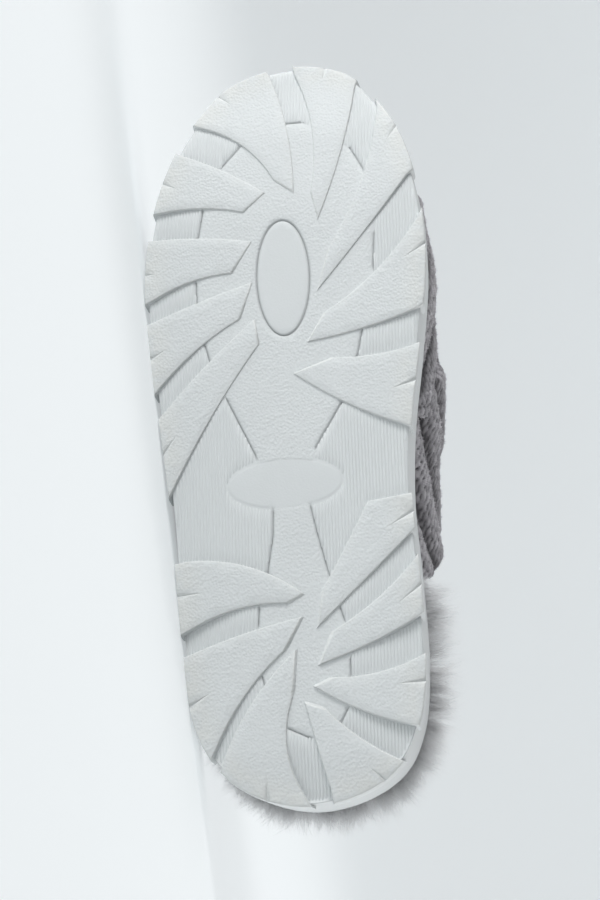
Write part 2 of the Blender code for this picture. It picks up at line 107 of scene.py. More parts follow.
def smooth_table(at, values, x):
    """Values of a table at x, through every row without overshoot."""
    x = np.clip(x, at[0], at[-1])
    steps = np.diff(values) / np.diff(at)
    slopes = np.zeros(len(at))
    same_way = steps[:-1] * steps[1:] > 0.0
    slopes[1:-1][same_way] = 2 * (steps[:-1] * steps[1:])[same_way] / (steps[:-1] + steps[1:])[same_way]
    i = np.clip(np.searchsorted(at, x, side="right") - 1, 0, len(at) - 2)
    width = at[i + 1] - at[i]
    t = (x - at[i]) / width
    return (
        values[i] * (1 + 2 * t) * (1 - t) ** 2
        + slopes[i] * width * t * (1 - t) ** 2
        + values[i + 1] * t * t * (3 - 2 * t)
        + slopes[i + 1] * width * t * t * (t - 1)
    )


def lug_level(x):
    """Height of the lug faces over the ground."""
    return smooth_table(LEVEL_ALONG, LEVEL_LIFT, x)


def sole_top(x):
    """Height of the sole's upper face."""
    return smooth_table(LEVEL_ALONG, LEVEL_TOP, x)


def smoothstep(low, high, value):
    """0 at low, 1 at high, and a soft rise from one to the other."""
    t = np.clip((value - low) / (high - low), 0.0, 1.0)
    return t * t * (3 - 2 * t)


def between(a, b, low, high, t):
    """a at low, b at high, and a straight line through both."""
    return (a * (high - t) + b * (t - low)) / (high - low)


def closed_curve(corners, per_span):
    """Points on a closed centripetal spline through the corners."""
    loop = []
    for i in range(len(corners)):
        before, start, end, after = (corners[(i + k) % len(corners)] for k in (-1, 0, 1, 2))
        k1 = math.sqrt(np.linalg.norm(start - before))
        k2 = k1 + math.sqrt(np.linalg.norm(end - start))
        k3 = k2 + math.sqrt(np.linalg.norm(after - end))
        t = np.linspace(k1, k2, per_span, endpoint=False)[:, None]
        middle = between(start, end, k1, k2, t)
        left = between(between(before, start, 0.0, k1, t), middle, 0.0, k2, t)
        right = between(middle, between(end, after, k2, k3, t), k1, k3, t)
        loop.append(between(left, right, k1, k2, t))
    return np.vstack(loop)


def sole_outline(per_station):
    """Outline of the lug faces from the heel end along the outer side to the toe and back."""
    outer = np.stack((OUTLINE_ALONG, -OUTLINE_LATERAL), axis=1)
    inner = np.stack((OUTLINE_ALONG, OUTLINE_MEDIAL), axis=1)[::-1]
    return closed_curve(np.vstack((HEEL_TIP, outer, TOE_TIP, inner)), per_station)


def inset_loop(loop, inset):
    """The loop drawn in towards the sole's middle line."""
    spine = np.stack((np.clip(loop[:, 0], SPINE_START, SPINE_END), np.full(len(loop), SPINE_ACROSS)), axis=1)
    rays = loop - spine
    return loop - rays * (inset / np.linalg.norm(rays, axis=1))[:, None]


def unit(ways):
    """Rows brought to a length of one."""
    return ways / np.linalg.norm(ways, axis=-1)[..., None]


def way_along(path):
    """Millimetres walked from the first point of a path to each of its points."""
    return np.concatenate(((0.0,), np.cumsum(np.linalg.norm(np.diff(path, axis=0), axis=1))))


def on_path(at, way, rows_of_path):
    """What a path's rows give at some ways along it."""
    return np.stack([np.interp(at, way, column) for column in rows_of_path.T], axis=1)


def ring_faces(ring, next_ring):
    """Quads between two rings of point numbers."""
    return np.stack((ring, np.roll(ring, -1), np.roll(next_ring, -1), next_ring), axis=1).tolist()


def fill_plan(edge, seeds, tolerance):
    """Points and triangles that fill a closed edge in plan, through the seeds inside it."""
    flat = [Vector(point) for point in np.vstack((edge, seeds)).tolist()]
    points, _, faces, *_ = delaunay_2d_cdt(flat, [], [list(range(len(edge)))], 1, tolerance)
    return np.array([point[:] for point in points]), faces


def distance_to(points, curve):
    """Distance of each point to the nearest point of a densely sampled curve."""
    parts = []
    for start in range(0, len(points), POINTS_AT_ONCE):
        part = points[start : start + POINTS_AT_ONCE]
        parts.append(np.sqrt(((part[:, None, :] - curve[None, :, :]) ** 2).sum(axis=2)).min(axis=1))
    return np.concatenate(parts)


def inside(points, polygon):
    """Whether each point lies inside a closed polygon."""
    x, y = points[:, 0], points[:, 1]
    found = np.zeros(len(points), bool)
    following = np.roll(polygon, -1, axis=0)
    for (x0, y0), (x1, y1) in zip(polygon, following):
        crosses = (y0 > y) != (y1 > y)
        found ^= crosses & (x < (x1 - x0) * (y - y0) / (y1 - y0 + 1e-12) + x0)
    return found


def oval_reach(points, oval):
    """Millimetres outside an oval's edge, negative inside it."""
    along, across, half_length, half_width = oval[:4]
    share = np.hypot((points[:, 0] - along) / half_length, (points[:, 1] - across) / half_width)
    slope = np.hypot((points[:, 0] - along) / half_length**2, (points[:, 1] - across) / half_width**2)
    return (share - 1.0) * share / np.maximum(slope, 1e-6)


def to_room(points):
    """Points in millimetres in the shoe's frame, as metres in the room."""
    return np.asarray(points) * MM @ SHOE_IN_ROOM.T + HEEL_IN_ROOM


def make_piece(name, points, faces, material, slot_name, weld=False, crisp=False, **marks):
    """A mesh piece from points in the shoe's frame, with named values kept on its points."""
    mesh = bpy.data.meshes.new(name)
    mesh.from_pydata(to_room(points).tolist(), [], faces if isinstance(faces, list) else faces.tolist())
    for mark, values in marks.items():
        mesh.attributes.new(mark, "FLOAT", "POINT").data.foreach_set("value", np.asarray(values, np.float32))
    if weld:
        shaped = bmesh.new()
        shaped.from_mesh(mesh)
        bmesh.ops.remove_doubles(shaped, verts=shaped.verts, dist=WELD_DISTANCE)
        bmesh.ops.recalc_face_normals(shaped, faces=shaped.faces)
        shaped.to_mesh(mesh)
        shaped.free()
    mesh.shade_smooth()
    if crisp:
        mesh.set_sharp_from_angle(angle=CRISP_ANGLE)
    mesh.materials.append(material)
    piece = bpy.data.objects.new(name, mesh)
    bpy.context.scene.collection.objects.link(piece)
    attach(piece, "root")
    return piece


def add_node(tree, kind, place, **values):
    """A shader node with its properties and its inputs' values set."""
    node = tree.nodes.new(kind)
    node.location = place
    for name, value in values.items():
        if name in node.inputs:
            node.inputs[name].default_value = value
        else:
            setattr(node, name, value)
    return node


def principled(name, roughness, **values):
    """A material with its Principled shader, and the shader."""
    material = bpy.data.materials.new(name)
    material.use_nodes = True
    shader = material.node_tree.nodes["Principled BSDF"]
    shader.inputs["Roughness"].default_value = roughness
    for socket, value in values.items():
        shader.inputs[socket.replace("_", " ")].default_value = value
    return material, shader


SOLE_PALE = (0.672, 0.694, 0.695, 1.0)
SOLE_SHADE = (0.630, 0.652, 0.655, 1.0)
# A pale cream tint on the lugs' rounded edges and on their faces near the rim, partly the rubber's own tint and partly
# a painted highlight.
SOLE_CREAM_HIGHLIGHT = (0.700, 0.685, 0.630, 1.0)
# Painted shade, darker than the rubber, for the incised lines and the ovals' rims.
SOLE_LINE_SHADE = (0.330, 0.342, 0.347, 1.0)
CREASE_SHARE = 0.35
sole_rubber, sole_shader = principled("sole_rubber", 0.58)
tree = sole_rubber.node_tree
where = add_node(tree, "ShaderNodeTexCoord", (-1200, 0))
clouds = add_node(tree, "ShaderNodeTexNoise", (-1000, 200), Scale=34.0, Detail=3.0)
tone = add_node(tree, "ShaderNodeMix", (-760, 240), data_type="RGBA")
tone.inputs["A"].default_value = SOLE_SHADE
tone.inputs["B"].default_value = SOLE_PALE
# The 'edge' mark mixes in the cream tint, which is partly a painted highlight.
cream_highlight_mark = add_node(tree, "ShaderNodeAttribute", (-1000, 460), attribute_name="edge")
cream_highlight = add_node(tree, "ShaderNodeMix", (-520, 300), data_type="RGBA")
cream_highlight.inputs["B"].default_value = SOLE_CREAM_HIGHLIGHT
line_mark = add_node(tree, "ShaderNodeAttribute", (-760, 460), attribute_name="line")
# The 'line' mark paints shade into the incised lines and the ovals' rims.
line_shade = add_node(tree, "ShaderNodeMix", (-280, 300), data_type="RGBA")
line_shade.inputs["B"].default_value = SOLE_LINE_SHADE
grain_mark = add_node(tree, "ShaderNodeAttribute", (-1000, -260), attribute_name="grain")
pebbles = add_node(tree, "ShaderNodeTexVoronoi", (-1000, -40), Scale=1150.0, feature="SMOOTH_F1", Smoothness=0.5)
creases = add_node(tree, "ShaderNodeTexNoise", (-1000, -480), Scale=1500.0, Detail=2.0)
pebble_height = add_node(tree, "ShaderNodeMath", (-760, -120), operation="MULTIPLY")
crease_height = add_node(tree, "ShaderNodeMath", (-760, -420), operation="MULTIPLY")
crease_height.inputs[1].default_value = CREASE_SHARE
height = add_node(tree, "ShaderNodeMath", (-520, -220), operation="ADD")
relief = add_node(tree, "ShaderNodeBump", (-260, -200), Strength=0.7, Distance=0.00021)
for start, end in (
    (where.outputs["Object"], clouds.inputs["Vector"]),
    (where.outputs["Object"], pebbles.inputs["Vector"]),
    (where.outputs["Object"], creases.inputs["Vector"]),
    (clouds.outputs["Fac"], tone.inputs["Factor"]),
    (tone.outputs["Result"], cream_highlight.inputs["A"]),
    (cream_highlight_mark.outputs["Fac"], cream_highlight.inputs["Factor"]),
    (cream_highlight.outputs["Result"], line_shade.inputs["A"]),
    (line_mark.outputs["Fac"], line_shade.inputs["Factor"]),
    (line_shade.outputs["Result"], sole_shader.inputs["Base Color"]),
    (pebbles.outputs["Distance"], pebble_height.inputs[0]),
    (grain_mark.outputs["Fac"], pebble_height.inputs[1]),
    (creases.outputs["Fac"], crease_height.inputs[0]),
    (pebble_height.outputs["Value"], height.inputs[0]),
    (crease_height.outputs["Value"], height.inputs[1]),
    (height.outputs["Value"], relief.inputs["Height"]),
    (relief.outputs["Normal"], sole_shader.inputs["Normal"]),
):
    tree.links.new(start, end)

rim = sole_outline(RIM_POINTS_PER_SPAN)
rim_size = len(rim)
rows = rim_size // 2
grain_curve = closed_curve(GRAIN_EDGE, GRAIN_POINTS_PER_SPAN)


def cap_faces(ring):
    """Strips from side to side that close a ring of the rim's points."""
    strips = []
    for k in range(rows):
        corners = (k, k + 1, rim_size - k - 1, (rim_size - k) % rim_size)
        strips.append([int(ring[corner]) for corner in dict.fromkeys(corners)])
    return strips


def line_points(corners, step):
    """Points at an even step along an open line through the corners."""
    corners = np.array(corners)
    way = way_along(corners)
    return on_path(np.linspace(0.0, way[-1], int(way[-1] / step) + 2), way, corners)


incised = np.vstack([line_points(line, LINE_FINE_STEP) for line in INCISED_LINES])


def floor_relief(points):
    """Height of the floor at points in plan, how grainy it is there, and how deep in a line."""
    in_from_rim = distance_to(points, rim)
    share = 1.0 - (1.0 - TOE_DEPTH_SHARE) * smoothstep(TOE_START, SOLE_LENGTH, points[:, 0])
    share += (HEEL_DEPTH_SHARE - 1.0) * smoothstep(HEEL_END, HEEL_START, points[:, 0])
    height = lug_level(points[:, 0]) + smooth_table(FLOOR_INSET, FLOOR_DEPTH, in_from_rim) * share
    grainy = inside(points, grain_curve)
    rise = GRAIN_STEP * np.where(grainy, smoothstep(0.0, GRAIN_FADE, distance_to(points, grain_curve)), 0.0)
    cut = LINE_DEPTH * np.exp(-((distance_to(points, incised) / LINE_WIDTH) ** 2))
    grain = grainy.astype(float)
    for oval in OVALS:
        _, _, half_length, half_width, dome_height, rim_depth = oval
        out = oval_reach(points, oval)
        over = smoothstep(OVAL_FADE, -OVAL_FADE, out)
        dome = dome_height * np.clip(1.0 - (1.0 + out / min(half_length, half_width)) ** 2, 0.0, 1.0)
        rise = rise * (1.0 - over) + over * (GRAIN_STEP + dome)
        cut = cut * (1.0 - smoothstep(OVAL_CLEAR, 0.0, out)) + rim_depth * np.exp(-((out / LINE_WIDTH) ** 2))
        grain *= smoothstep(-OVAL_GRAIN_FADE, OVAL_GRAIN_FADE, out)
    # The last value, the share of a line's full depth, sets the painted shade in the lines.
    return height - rise + cut, grain, np.clip(cut / LINE_DEPTH, 0.0, 1.0)


def even_points(curve, step):
    """A closed curve's points at an even step, and the normals there."""
    closed = np.vstack((curve, curve[:1]))
    way = way_along(closed)
    points = on_path(np.linspace(0.0, way[-1], int(way[-1] / step), endpoint=False), way, closed)
    along = unit(np.roll(points, -1, axis=0) - np.roll(points, 1, axis=0))
    return points, np.stack((along[:, 1], -along[:, 0]), axis=1)


angles = np.linspace(0.0, 2 * math.pi, OVAL_POINTS, endpoint=False)
oval_curves = [
    np.stack((along + length * np.cos(angles), across + width * np.sin(angles)), axis=1)
    for along, across, length, width, *_ in OVALS
]
floor_edge = inset_loop(rim, FLOOR_INSET[0])
grid_along, grid_across = np.meshgrid(
    np.arange(0.0, SOLE_LENGTH, FLOOR_POINT_STEP * FLOOR_ROW_SHARE),
    np.arange(*FLOOR_ACROSS, FLOOR_POINT_STEP),
    indexing="ij",
)
grid_across[1::2] += FLOOR_POINT_STEP / 2
seeds = np.column_stack((grid_along.ravel(), grid_across.ravel()))
seeds = seeds[inside(seeds, floor_edge) & (distance_to(seeds, floor_edge) > FLOOR_EDGE_GAP)]
for curve in oval_curves:
    on_line, line_out = even_points(curve, LINE_POINT_STEP)
    seeds = seeds[distance_to(seeds, curve) > LINE_ROWS[-1] + FLOOR_LINE_GAP]
    seeds = np.vstack((seeds, *(on_line + line_out * row for row in LINE_ROWS)))
for line in INCISED_LINES:
    on_line = line_points(line, LINE_POINT_STEP)
    along = np.gradient(on_line, axis=0)
    line_out = np.stack((along[:, 1], -along[:, 0]), axis=1) / np.linalg.norm(along, axis=1)[:, None]
    seeds = seeds[distance_to(seeds, on_line) > LINE_ROWS[-1] + FLOOR_LINE_GAP]
    seeds = np.vstack((seeds, *(on_line + line_out * row for row in LINE_ROWS)))
plan, body_faces = fill_plan(floor_edge, seeds, FLOOR_TOLERANCE)
floor_z, floor_grain, floor_line = floor_relief(plan)
body_points = [np.column_stack((plan, floor_z))]
edge_z = floor_relief(floor_edge)[0]
body_points.append(np.column_stack((floor_edge, edge_z)))
ring_ids = len(plan) + np.arange(rim_size)
for low, table in ((True, SIDE_LOW), (False, SIDE_HIGH)):
    for inset, level in table:
        loop = inset_loop(rim, inset)
        z = lug_level(loop[:, 0]) + level if low else sole_top(loop[:, 0]) - level
        body_points.append(np.column_stack((loop, z)))
        body_faces += ring_faces(ring_ids, ring_ids + rim_size)
        ring_ids = ring_ids + rim_size
body_faces += cap_faces(ring_ids)
body_points = np.vstack(body_points)
plain = np.zeros(len(body_points) - len(plan))
# Its 'line' mark carries the painted shade of the incised lines and the ovals' rims.
body = make_piece(
    "sole_body", body_points, body_faces, sole_rubber, "sole", weld=True,
    grain=np.concatenate((floor_grain, plain + SIDE_GRAIN)), line=np.concatenate((floor_line, plain)),
)
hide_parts("outsole")

# The lugs: curved blocks cast in one with the body, swept round each hub from a tip out to the rim.
# Their walls lean, their ends by the hub slope away gently, and each has a short nick cut into its rim.
# Each lug: start, bow and rim end of its leading edge, the same of its trailing edge, the trailing edge's
# shoulder if it has one, then the rim end and the inner end of its nick.
LUGS = (
    ((207.5, 1.7), 2.3, (255.7, -6.7), (213.0, -5.2), 4.0, (237.2, -34.0), None, (248.6, -24.2), (245.0, -20.6)),
    ((197.0, 9.8), 1.9, (249.7, 24.0), (207.5, 7.6), 3.8, (256.8, 1.5), None, (255.4, 13.0), (251.6, 12.6)),
    ((171.5, 9.0), 0.6, (213.0, 42.5), (186.0, 13.1), 3.9, (241.6, 31.5), None, (229.5, 38.0), (224.4, 34.2)),
    ((153.2, 5.0), 1.4, (163.0, 44.5), (163.0, 10.9), 3.1, (197.5, 45.5), None, (184.8, 45.7), (181.0, 39.6)),
    ((142.3, 0.0), 1.8, (121.3, 38.0), (146.8, 13.0), 1.3, (149.5, 42.0), None, (136.4, 40.2), (134.8, 33.0)),
    ((162.5, -13.0), 1.1, (129.9, -46.0), (153.6, -11.7), 1.4, (102.5, -43.2), None, (117.0, -45.0), (123.0, -40.8)),
    ((175.8, -13.6), 0.5, (163.5, -49.7), (163.1, -18.0), 1.9, (138.7, -47.5), None, (151.0, -49.0), (153.7, -44.4)),
    ((190.6, -13.5), 1.2, (193.8, -49.5), (179.8, -20.4), 2.3, (170.6, -50.2), None, (181.5, -50.5), (181.7, -47.6)),
    ((208.4, -8.5), 1.1, (226.5, -39.4), (201.7, -16.0), 1.8, (203.7, -47.2), None, (214.6, -44.2), (213.0, -39.4)),
    ((57.2, 5.2), 0.2, (87.4, 37.8), (69.0, 7.0), 0.2, (98.9, 37.2), (96.9, 22.6), (94.1, 37.4), (88.6, 29.8)),
    ((44.8, 5.3), 1.1, (59.1, 38.8), (55.2, 9.8), 1.8, (78.6, 38.3), None, (69.1, 38.6), (63.6, 32.0)),
    ((37.5, 3.4), 1.7, (23.4, 36.0), (40.2, 9.2), 2.1, (46.3, 39.0), None, (38.2, 38.6), (37.1, 30.9)),
    ((32.4, 0.0), 0.2, (2.4, 8.0), (30.2, 6.4), 1.4, (12.6, 30.4), None, (6.9, 24.0), (10.6, 20.3)),
    ((49.4, -2.8), 2.9, (12.2, -28.0), (34.7, -4.1), 4.3, (0.8, 0.3), None, (2.8, -13.6), (9.6, -13.2)),
    ((60.2, -0.5), 1.0, (49.1, -39.3), (49.7, -6.3), 2.6, (15.9, -30.6), None, (33.6, -37.6), (36.9, -31.3)),
    ((68.0, 0.3), 4.4, (80.6, -41.6), (65.2, -4.7), 3.0, (56.3, -40.0), None, (70.4, -41.0), (70.0, -34.0)),
)
LUG_STEP, LUG_END_STEP = 1.8, 3.4
LUG_CORNER_LIMIT, LUG_CORNER_SINE = 4.5, 0.15
LUG_FACE_STEP, LUG_FACE_GAP, LUG_FACE_TOLERANCE = 3.0, 1.6, 1e-5
NICK_WIDTH, NICK_DEPTH = 1.8, 0.8
LUG_CREAM_HIGHLIGHT, LUG_CREAM_HIGHLIGHT_FULL, LUG_CREAM_HIGHLIGHT_REACH = 0.3, 0.5, 11.0
# Rings of a lug from its face to its root: height over the face, then how far its edges, rim, inner end and
# nick are spread, then how cream it is, a pale tint that is partly a painted highlight on the rounded edges.
LUG_RINGS = (
    (0.0, -0.32, -0.8, -0.5, -0.25, 0.05),
    (0.07, -0.12, -0.4, -0.2, -0.12, 0.2),
    (0.28, 0.02, -0.15, 0.1, 0.2, 0.2),
    (0.8, 0.12, -0.08, 0.75, 0.0, 0.05),
    (1.6, 0.25, -0.05, 1.5, 0.0, 0.0),
    (6.0, 0.8, -0.15, 3.0, 0.0, 0.0),
    (9.5, 1.0, -2.4, 3.0, 0.0, 0.0),
)
EDGE, RIM, END, NICK = range(4)


def bowed_edge(start, end, bow):
    """Points from start to end on a curve that swings to the left by bow, with longer steps at its ends."""
    start, end = np.array(start), np.array(end)
    length = np.linalg.norm(end - start)
    middle = np.arange(LUG_END_STEP, length - LUG_END_STEP, LUG_STEP) / length
    t = np.concatenate(((0.0,), middle[:-1], (1.0 - LUG_END_STEP / length, 1.0)))[:, None]
    left = np.array((start[1] - end[1], end[0] - start[0])) / length
    return start + (end - start) * t + left * (4 * bow * t * (1 - t))


def rim_stretch(first, last):
    """Rim points from the one nearest first to the one nearest last, the short way round."""
    start = int(np.argmin(np.linalg.norm(rim - np.array(first), axis=1)))
    stop = int(np.argmin(np.linalg.norm(rim - np.array(last), axis=1)))
    forward = (stop - start) % rim_size
    step = 1 if forward <= rim_size - forward else -1
    ids = (start + step * np.arange(min(forward, rim_size - forward) + 1)) % rim_size
    way = way_along(rim[ids])
    at = np.concatenate(((0.0,), np.arange(LUG_END_STEP, way[-1] - LUG_END_STEP + 0.5, LUG_STEP), (way[-1],)))
    return on_path(at, way, rim[ids])


def lug_plan(lug):
    """Closed plan of a lug, anticlockwise, the kind of side after each point, and both with the nick filled."""
    lead_from, lead_bow, lead_rim, trail_from, trail_bow, trail_rim, shoulder, nick_rim, nick_end = lug
    lead = bowed_edge(lead_from, lead_rim, lead_bow)
    trail = bowed_edge(trail_from, shoulder or trail_rim, trail_bow)
    stretch = rim_stretch(lead_rim, trail_rim)
    lead[-1] = stretch[0]
    if shoulder:
        trail = np.vstack((trail, stretch[-1]))
    trail[-1] = stretch[-1]
    cut = int(np.argmin(np.linalg.norm(stretch - np.array(nick_rim), axis=1)))
    cut = min(max(cut, 2), len(stretch) - 3)
    along = stretch[cut + 1] - stretch[cut - 1]
    along /= np.linalg.norm(along)
    nick = np.array((stretch[cut] - along * NICK_WIDTH / 2, nick_end, stretch[cut] + along * NICK_WIDTH / 2))
    parts = (
        (lead[:-1], EDGE),
        (stretch[: cut - 1], RIM),
        (nick[:2], NICK),
        (np.vstack((nick[2:], stretch[cut + 2 : -1])), RIM),
        (trail[:0:-1], EDGE),
        (trail[:1], END),
    )
    points = np.vstack([part for part, _ in parts])
    kinds = np.concatenate([np.full(len(part), kind) for part, kind in parts])
    filled, filled_kinds = points.copy(), np.where(kinds == NICK, RIM, kinds)
    filled[len(lead) + cut - 1] = stretch[cut]
    area = np.sum(points[:, 0] * np.roll(points[:, 1], -1) - np.roll(points[:, 0], -1) * points[:, 1])
    if area < 0:
        points, filled = points[::-1], filled[::-1]
        kinds, filled_kinds = np.roll(kinds[::-1], -1), np.roll(filled_kinds[::-1], -1)
    return points, kinds, filled, filled_kinds


def spread_plan(points, kinds, spread):
    """The plan with each side moved out by its kind's spread, kept sharp at its corners."""
    sides = unit(np.roll(points, -1, axis=0) - points)
    normals = np.stack((sides[:, 1], -sides[:, 0]), axis=1)
    moves = np.array(spread)[kinds]
    before, before_moves = np.roll(normals, 1, axis=0), np.roll(moves, 1)
    cross = before[:, 0] * normals[:, 1] - before[:, 1] * normals[:, 0]
    sharp = np.abs(cross) > LUG_CORNER_SINE
    safe = np.where(sharp, cross, 1.0)
    x = (before_moves * normals[:, 1] - moves * before[:, 1]) / safe
    y = (before[:, 0] * moves - normals[:, 0] * before_moves) / safe
    straight = unit(before + normals) * ((moves + before_moves) / 2)[:, None]
    shift = np.where(sharp[:, None], np.stack((x, y), axis=1), straight)
    length = np.linalg.norm(shift, axis=1)
    return points + shift * np.minimum(1.0, LUG_CORNER_LIMIT / np.maximum(length, 1e-6))[:, None]


lug_points, lug_faces, lug_cream_highlight, lug_covers = [], [], [], []
for lug in LUGS:
    points, kinds, filled, filled_kinds = lug_plan(lug)
    lug_covers.append(points)
    size, first = len(points), sum(len(part) for part in lug_points)
    for z, *spread, cream_highlight_share in LUG_RINGS:
        ring = spread_plan(points, kinds, spread) if z < NICK_DEPTH else spread_plan(filled, filled_kinds, spread)
        lug_points.append(np.column_stack((ring, lug_level(ring[:, 0]) + z)))
        lug_cream_highlight.append(np.full(size, cream_highlight_share))
    ring_ids = first + np.arange(size)
    for _ in LUG_RINGS[1:]:
        lug_faces += ring_faces(ring_ids, ring_ids + size)
        ring_ids = ring_ids + size
    lug_faces.append(ring_ids.tolist())
    face = lug_points[-len(LUG_RINGS)][:, :2]
    grid = np.meshgrid(*(np.arange(side.min(), side.max(), LUG_FACE_STEP) for side in face.T))
    seeds = np.column_stack([side.ravel() for side in grid])
    seeds = seeds[inside(seeds, face) & (distance_to(seeds, face) > LUG_FACE_GAP)]
    found, triangles = fill_plan(face, seeds, LUG_FACE_TOLERANCE)
    start = sum(len(part) for part in lug_points)
    lug_points.append(np.column_stack((found, lug_level(found[:, 0]))))
    # The lug faces turn cream towards the rim: a warm tint that is partly a painted highlight.
    lug_cream_highlight.append(LUG_CREAM_HIGHLIGHT * smoothstep(LUG_CREAM_HIGHLIGHT_REACH, LUG_CREAM_HIGHLIGHT_FULL, distance_to(found, rim)))
    lug_faces += [[start + corner for corner in triangle] for triangle in triangles]
lug_points, lug_cream_highlight = np.vstack(lug_points), np.concatenate(lug_cream_highlight)
make_piece(
    "sole_lugs", lug_points, lug_faces, sole_rubber, "sole", weld=True, crisp=True,
    edge=lug_cream_highlight, grain=np.full(len(lug_points), 1.0),
)

# The fine ribs: low ridges cast along the floor of the waist and of the outer grooves, to give a grip.
# Each runs along the shoe and ends at a lug, at the rim, or at the grainy middle.
RIB_PITCH, RIB_HALF_WIDTH, RIB_HEIGHT = 1.06, 0.46, 0.22
RIB_LOOK_STEP, RIB_STEP, RIB_SHORTEST = 0.4, 3.0, 2.0
RIB_RIM_GAP, RIB_LINE_GAP = 2.0, 0.45
RIB_ACROSS, RIB_FIRST_ALONG = (-50.0, 47.0), 1.0
RIB_END_LENGTH, RIB_END_WIDTH, RIB_FEWEST_POINTS = 0.6, 0.35, 4
RIB_PROFILE = ((-1.0, -0.12), (-0.35, 0.9), (0.35, 0.9), (1.0, -0.12))  # share of the half width, of the height
ribs_across = np.arange(*RIB_ACROSS, RIB_PITCH)
looks_along = np.arange(RIB_FIRST_ALONG, SOLE_LENGTH, RIB_LOOK_STEP)
looks = np.stack(np.meshgrid(looks_along, ribs_across), axis=2).reshape(-1, 2)
ribbed = inside(looks, rim) & (distance_to(looks, rim) > RIB_RIM_GAP)
ribbed &= ~inside(looks, grain_curve) & (distance_to(looks, grain_curve) > RIB_LINE_GAP)
for oval in OVALS:
    ribbed &= oval_reach(looks, oval) > RIB_LINE_GAP
for cover in lug_covers:
    ribbed &= ~inside(looks, cover)
ribbed = ribbed.reshape(len(ribs_across), len(looks_along))
rib_points, rib_faces = [], []
for across, row in zip(ribs_across, ribbed):
    turns = np.flatnonzero(np.diff(np.concatenate(((0,), row.astype(int), (0,)))))
    for start, stop in zip(turns[::2], turns[1::2] - 1):
        low, high = looks_along[start], looks_along[stop]
        if high - low < RIB_SHORTEST:
            continue
        count = max(RIB_FEWEST_POINTS, int((high - low) / RIB_STEP) + 2)
        middle = np.linspace(low + RIB_END_LENGTH, high - RIB_END_LENGTH, count - 2)
        along = np.concatenate(((low,), middle, (high,)))
        level = floor_relief(np.column_stack((along, np.full(count, across))))[0]
        ends = np.ones(count)
        ends[0] = ends[-1] = 0.0
        first = sum(len(part) for part in rib_points)
        for side, rise in RIB_PROFILE:
            y = across + side * RIB_HALF_WIDTH * (RIB_END_WIDTH + (1.0 - RIB_END_WIDTH) * ends)
            z = level - RIB_HEIGHT * rise * (ends if rise > 0 else 1.0)
            rib_points.append(np.column_stack((along, y, z)))
        k = np.arange(count - 1)
        for a, b in ((0, 1), (1, 2), (2, 3), (3, 0)):
            here, there = first + a * count, first + b * count
            rib_faces += np.stack((here + k, here + k + 1, there + k + 1, there + k), axis=1).tolist()
        for end in (0, count - 1):
            rib_faces.append([int(first + a * count + end) for a in range(4)])
make_piece("sole_ribs", np.vstack(rib_points), rib_faces, sole_rubber, "sole", weld=True, crisp=True)

# The bands of the upper: padded strips of chenille knit, quilted into slanting channels by rows of stitches.
# The under band runs from the inner side at the front to the outer side at the rear, and the over band crosses it.
INSTEP_ALONG = np.array((60.0, 110.0, 150.0, 190.0, 222.0))
INSTEP_HEIGHT = np.array((60.0, 62.0, 57.0, 49.0, 43.0))
INSTEP_INNER_BULGE = np.array((8.6, 8.2, 4.2, 2.6, 2.2))
INSTEP_OUTER_BULGE = np.array((8.0, 7.4, 6.0, 5.2, 4.6))
ARCH_FULLNESS, ARCH_RIM_INSET, INSTEP_LEAN, PIECE_GAP = 2.3, 2.2, 2.4, 0.3
BAND_TURNS = np.array((0.0, 0.18, 0.5, 0.82, 1.0))
UNDER_REAR = np.array((132.0, 131.0, 115.0, 100.0, 75.0))
UNDER_FRONT = np.array((216.0, 206.0, 187.0, 166.0, 144.0))
OVER_REAR = np.array((76.0, 101.0, 117.0, 134.0, 136.0))
OVER_FRONT = np.array((141.0, 164.0, 185.0, 204.0, 214.0))
BAND_THICKNESS, BAND_JOIN, BAND_DRAPE, BAND_END_DRAPE = 4.5, 0.8, 14.0, 0.14
BAND_SECTIONS, BAND_ACROSS, BAND_SAMPLES = 280, 104, 400
BAND_WIDTH_SHARE, TURN_STEP = 0.8, 0.004
CHANNEL_PITCH, CHANNEL_SLANT = 15.0, math.radians(60.0)
CHANNEL_DEPTH, CHANNEL_CROWN, SEAM_SHARPNESS = 3.0, 0.8, 0.7
YARN_PITCH, YARN_SLANT, YARN_WAVE = 2.4, 0.35, 0.4
BOBBLE_PITCH, BOBBLE_HEIGHT, BOBBLE_LEVEL = 2.7, 1.0, 0.7
FLOOR_CLEARANCE = 0.0004
EDGE_ROUNDING, EDGE_FULLNESS, EDGE_STEEPNESS = 3.0, 2.6, 0.42
# The knit's root colour is near black, painted shade deep among the fibres; its tip colour is the yarn's pale lilac
# grey.
KNIT_ROOT_SHADE = (0.065, 0.061, 0.066, 1.0)
KNIT_TIP = (0.760, 0.735, 0.775, 1.0)
# The outer face runs from root to tip colour: painted light on the loops, painted shade in their hollows and on the
# seams. The lining takes a fixed share.
BOBBLE_PAINTED_LIGHT, SEAM_PAINTED_SHADE, LINING_LIGHT = 0.8, 0.7, 0.5


def side_reach(along):
    """How far the rim stands out to the outer and to the inner side."""
    outer = rim[: rows + 1]
    inner = np.vstack((rim[:1], rim[: rows - 1 : -1]))
    return -np.interp(along, outer[:, 0], outer[:, 1]), np.interp(along, inner[:, 0], inner[:, 1])


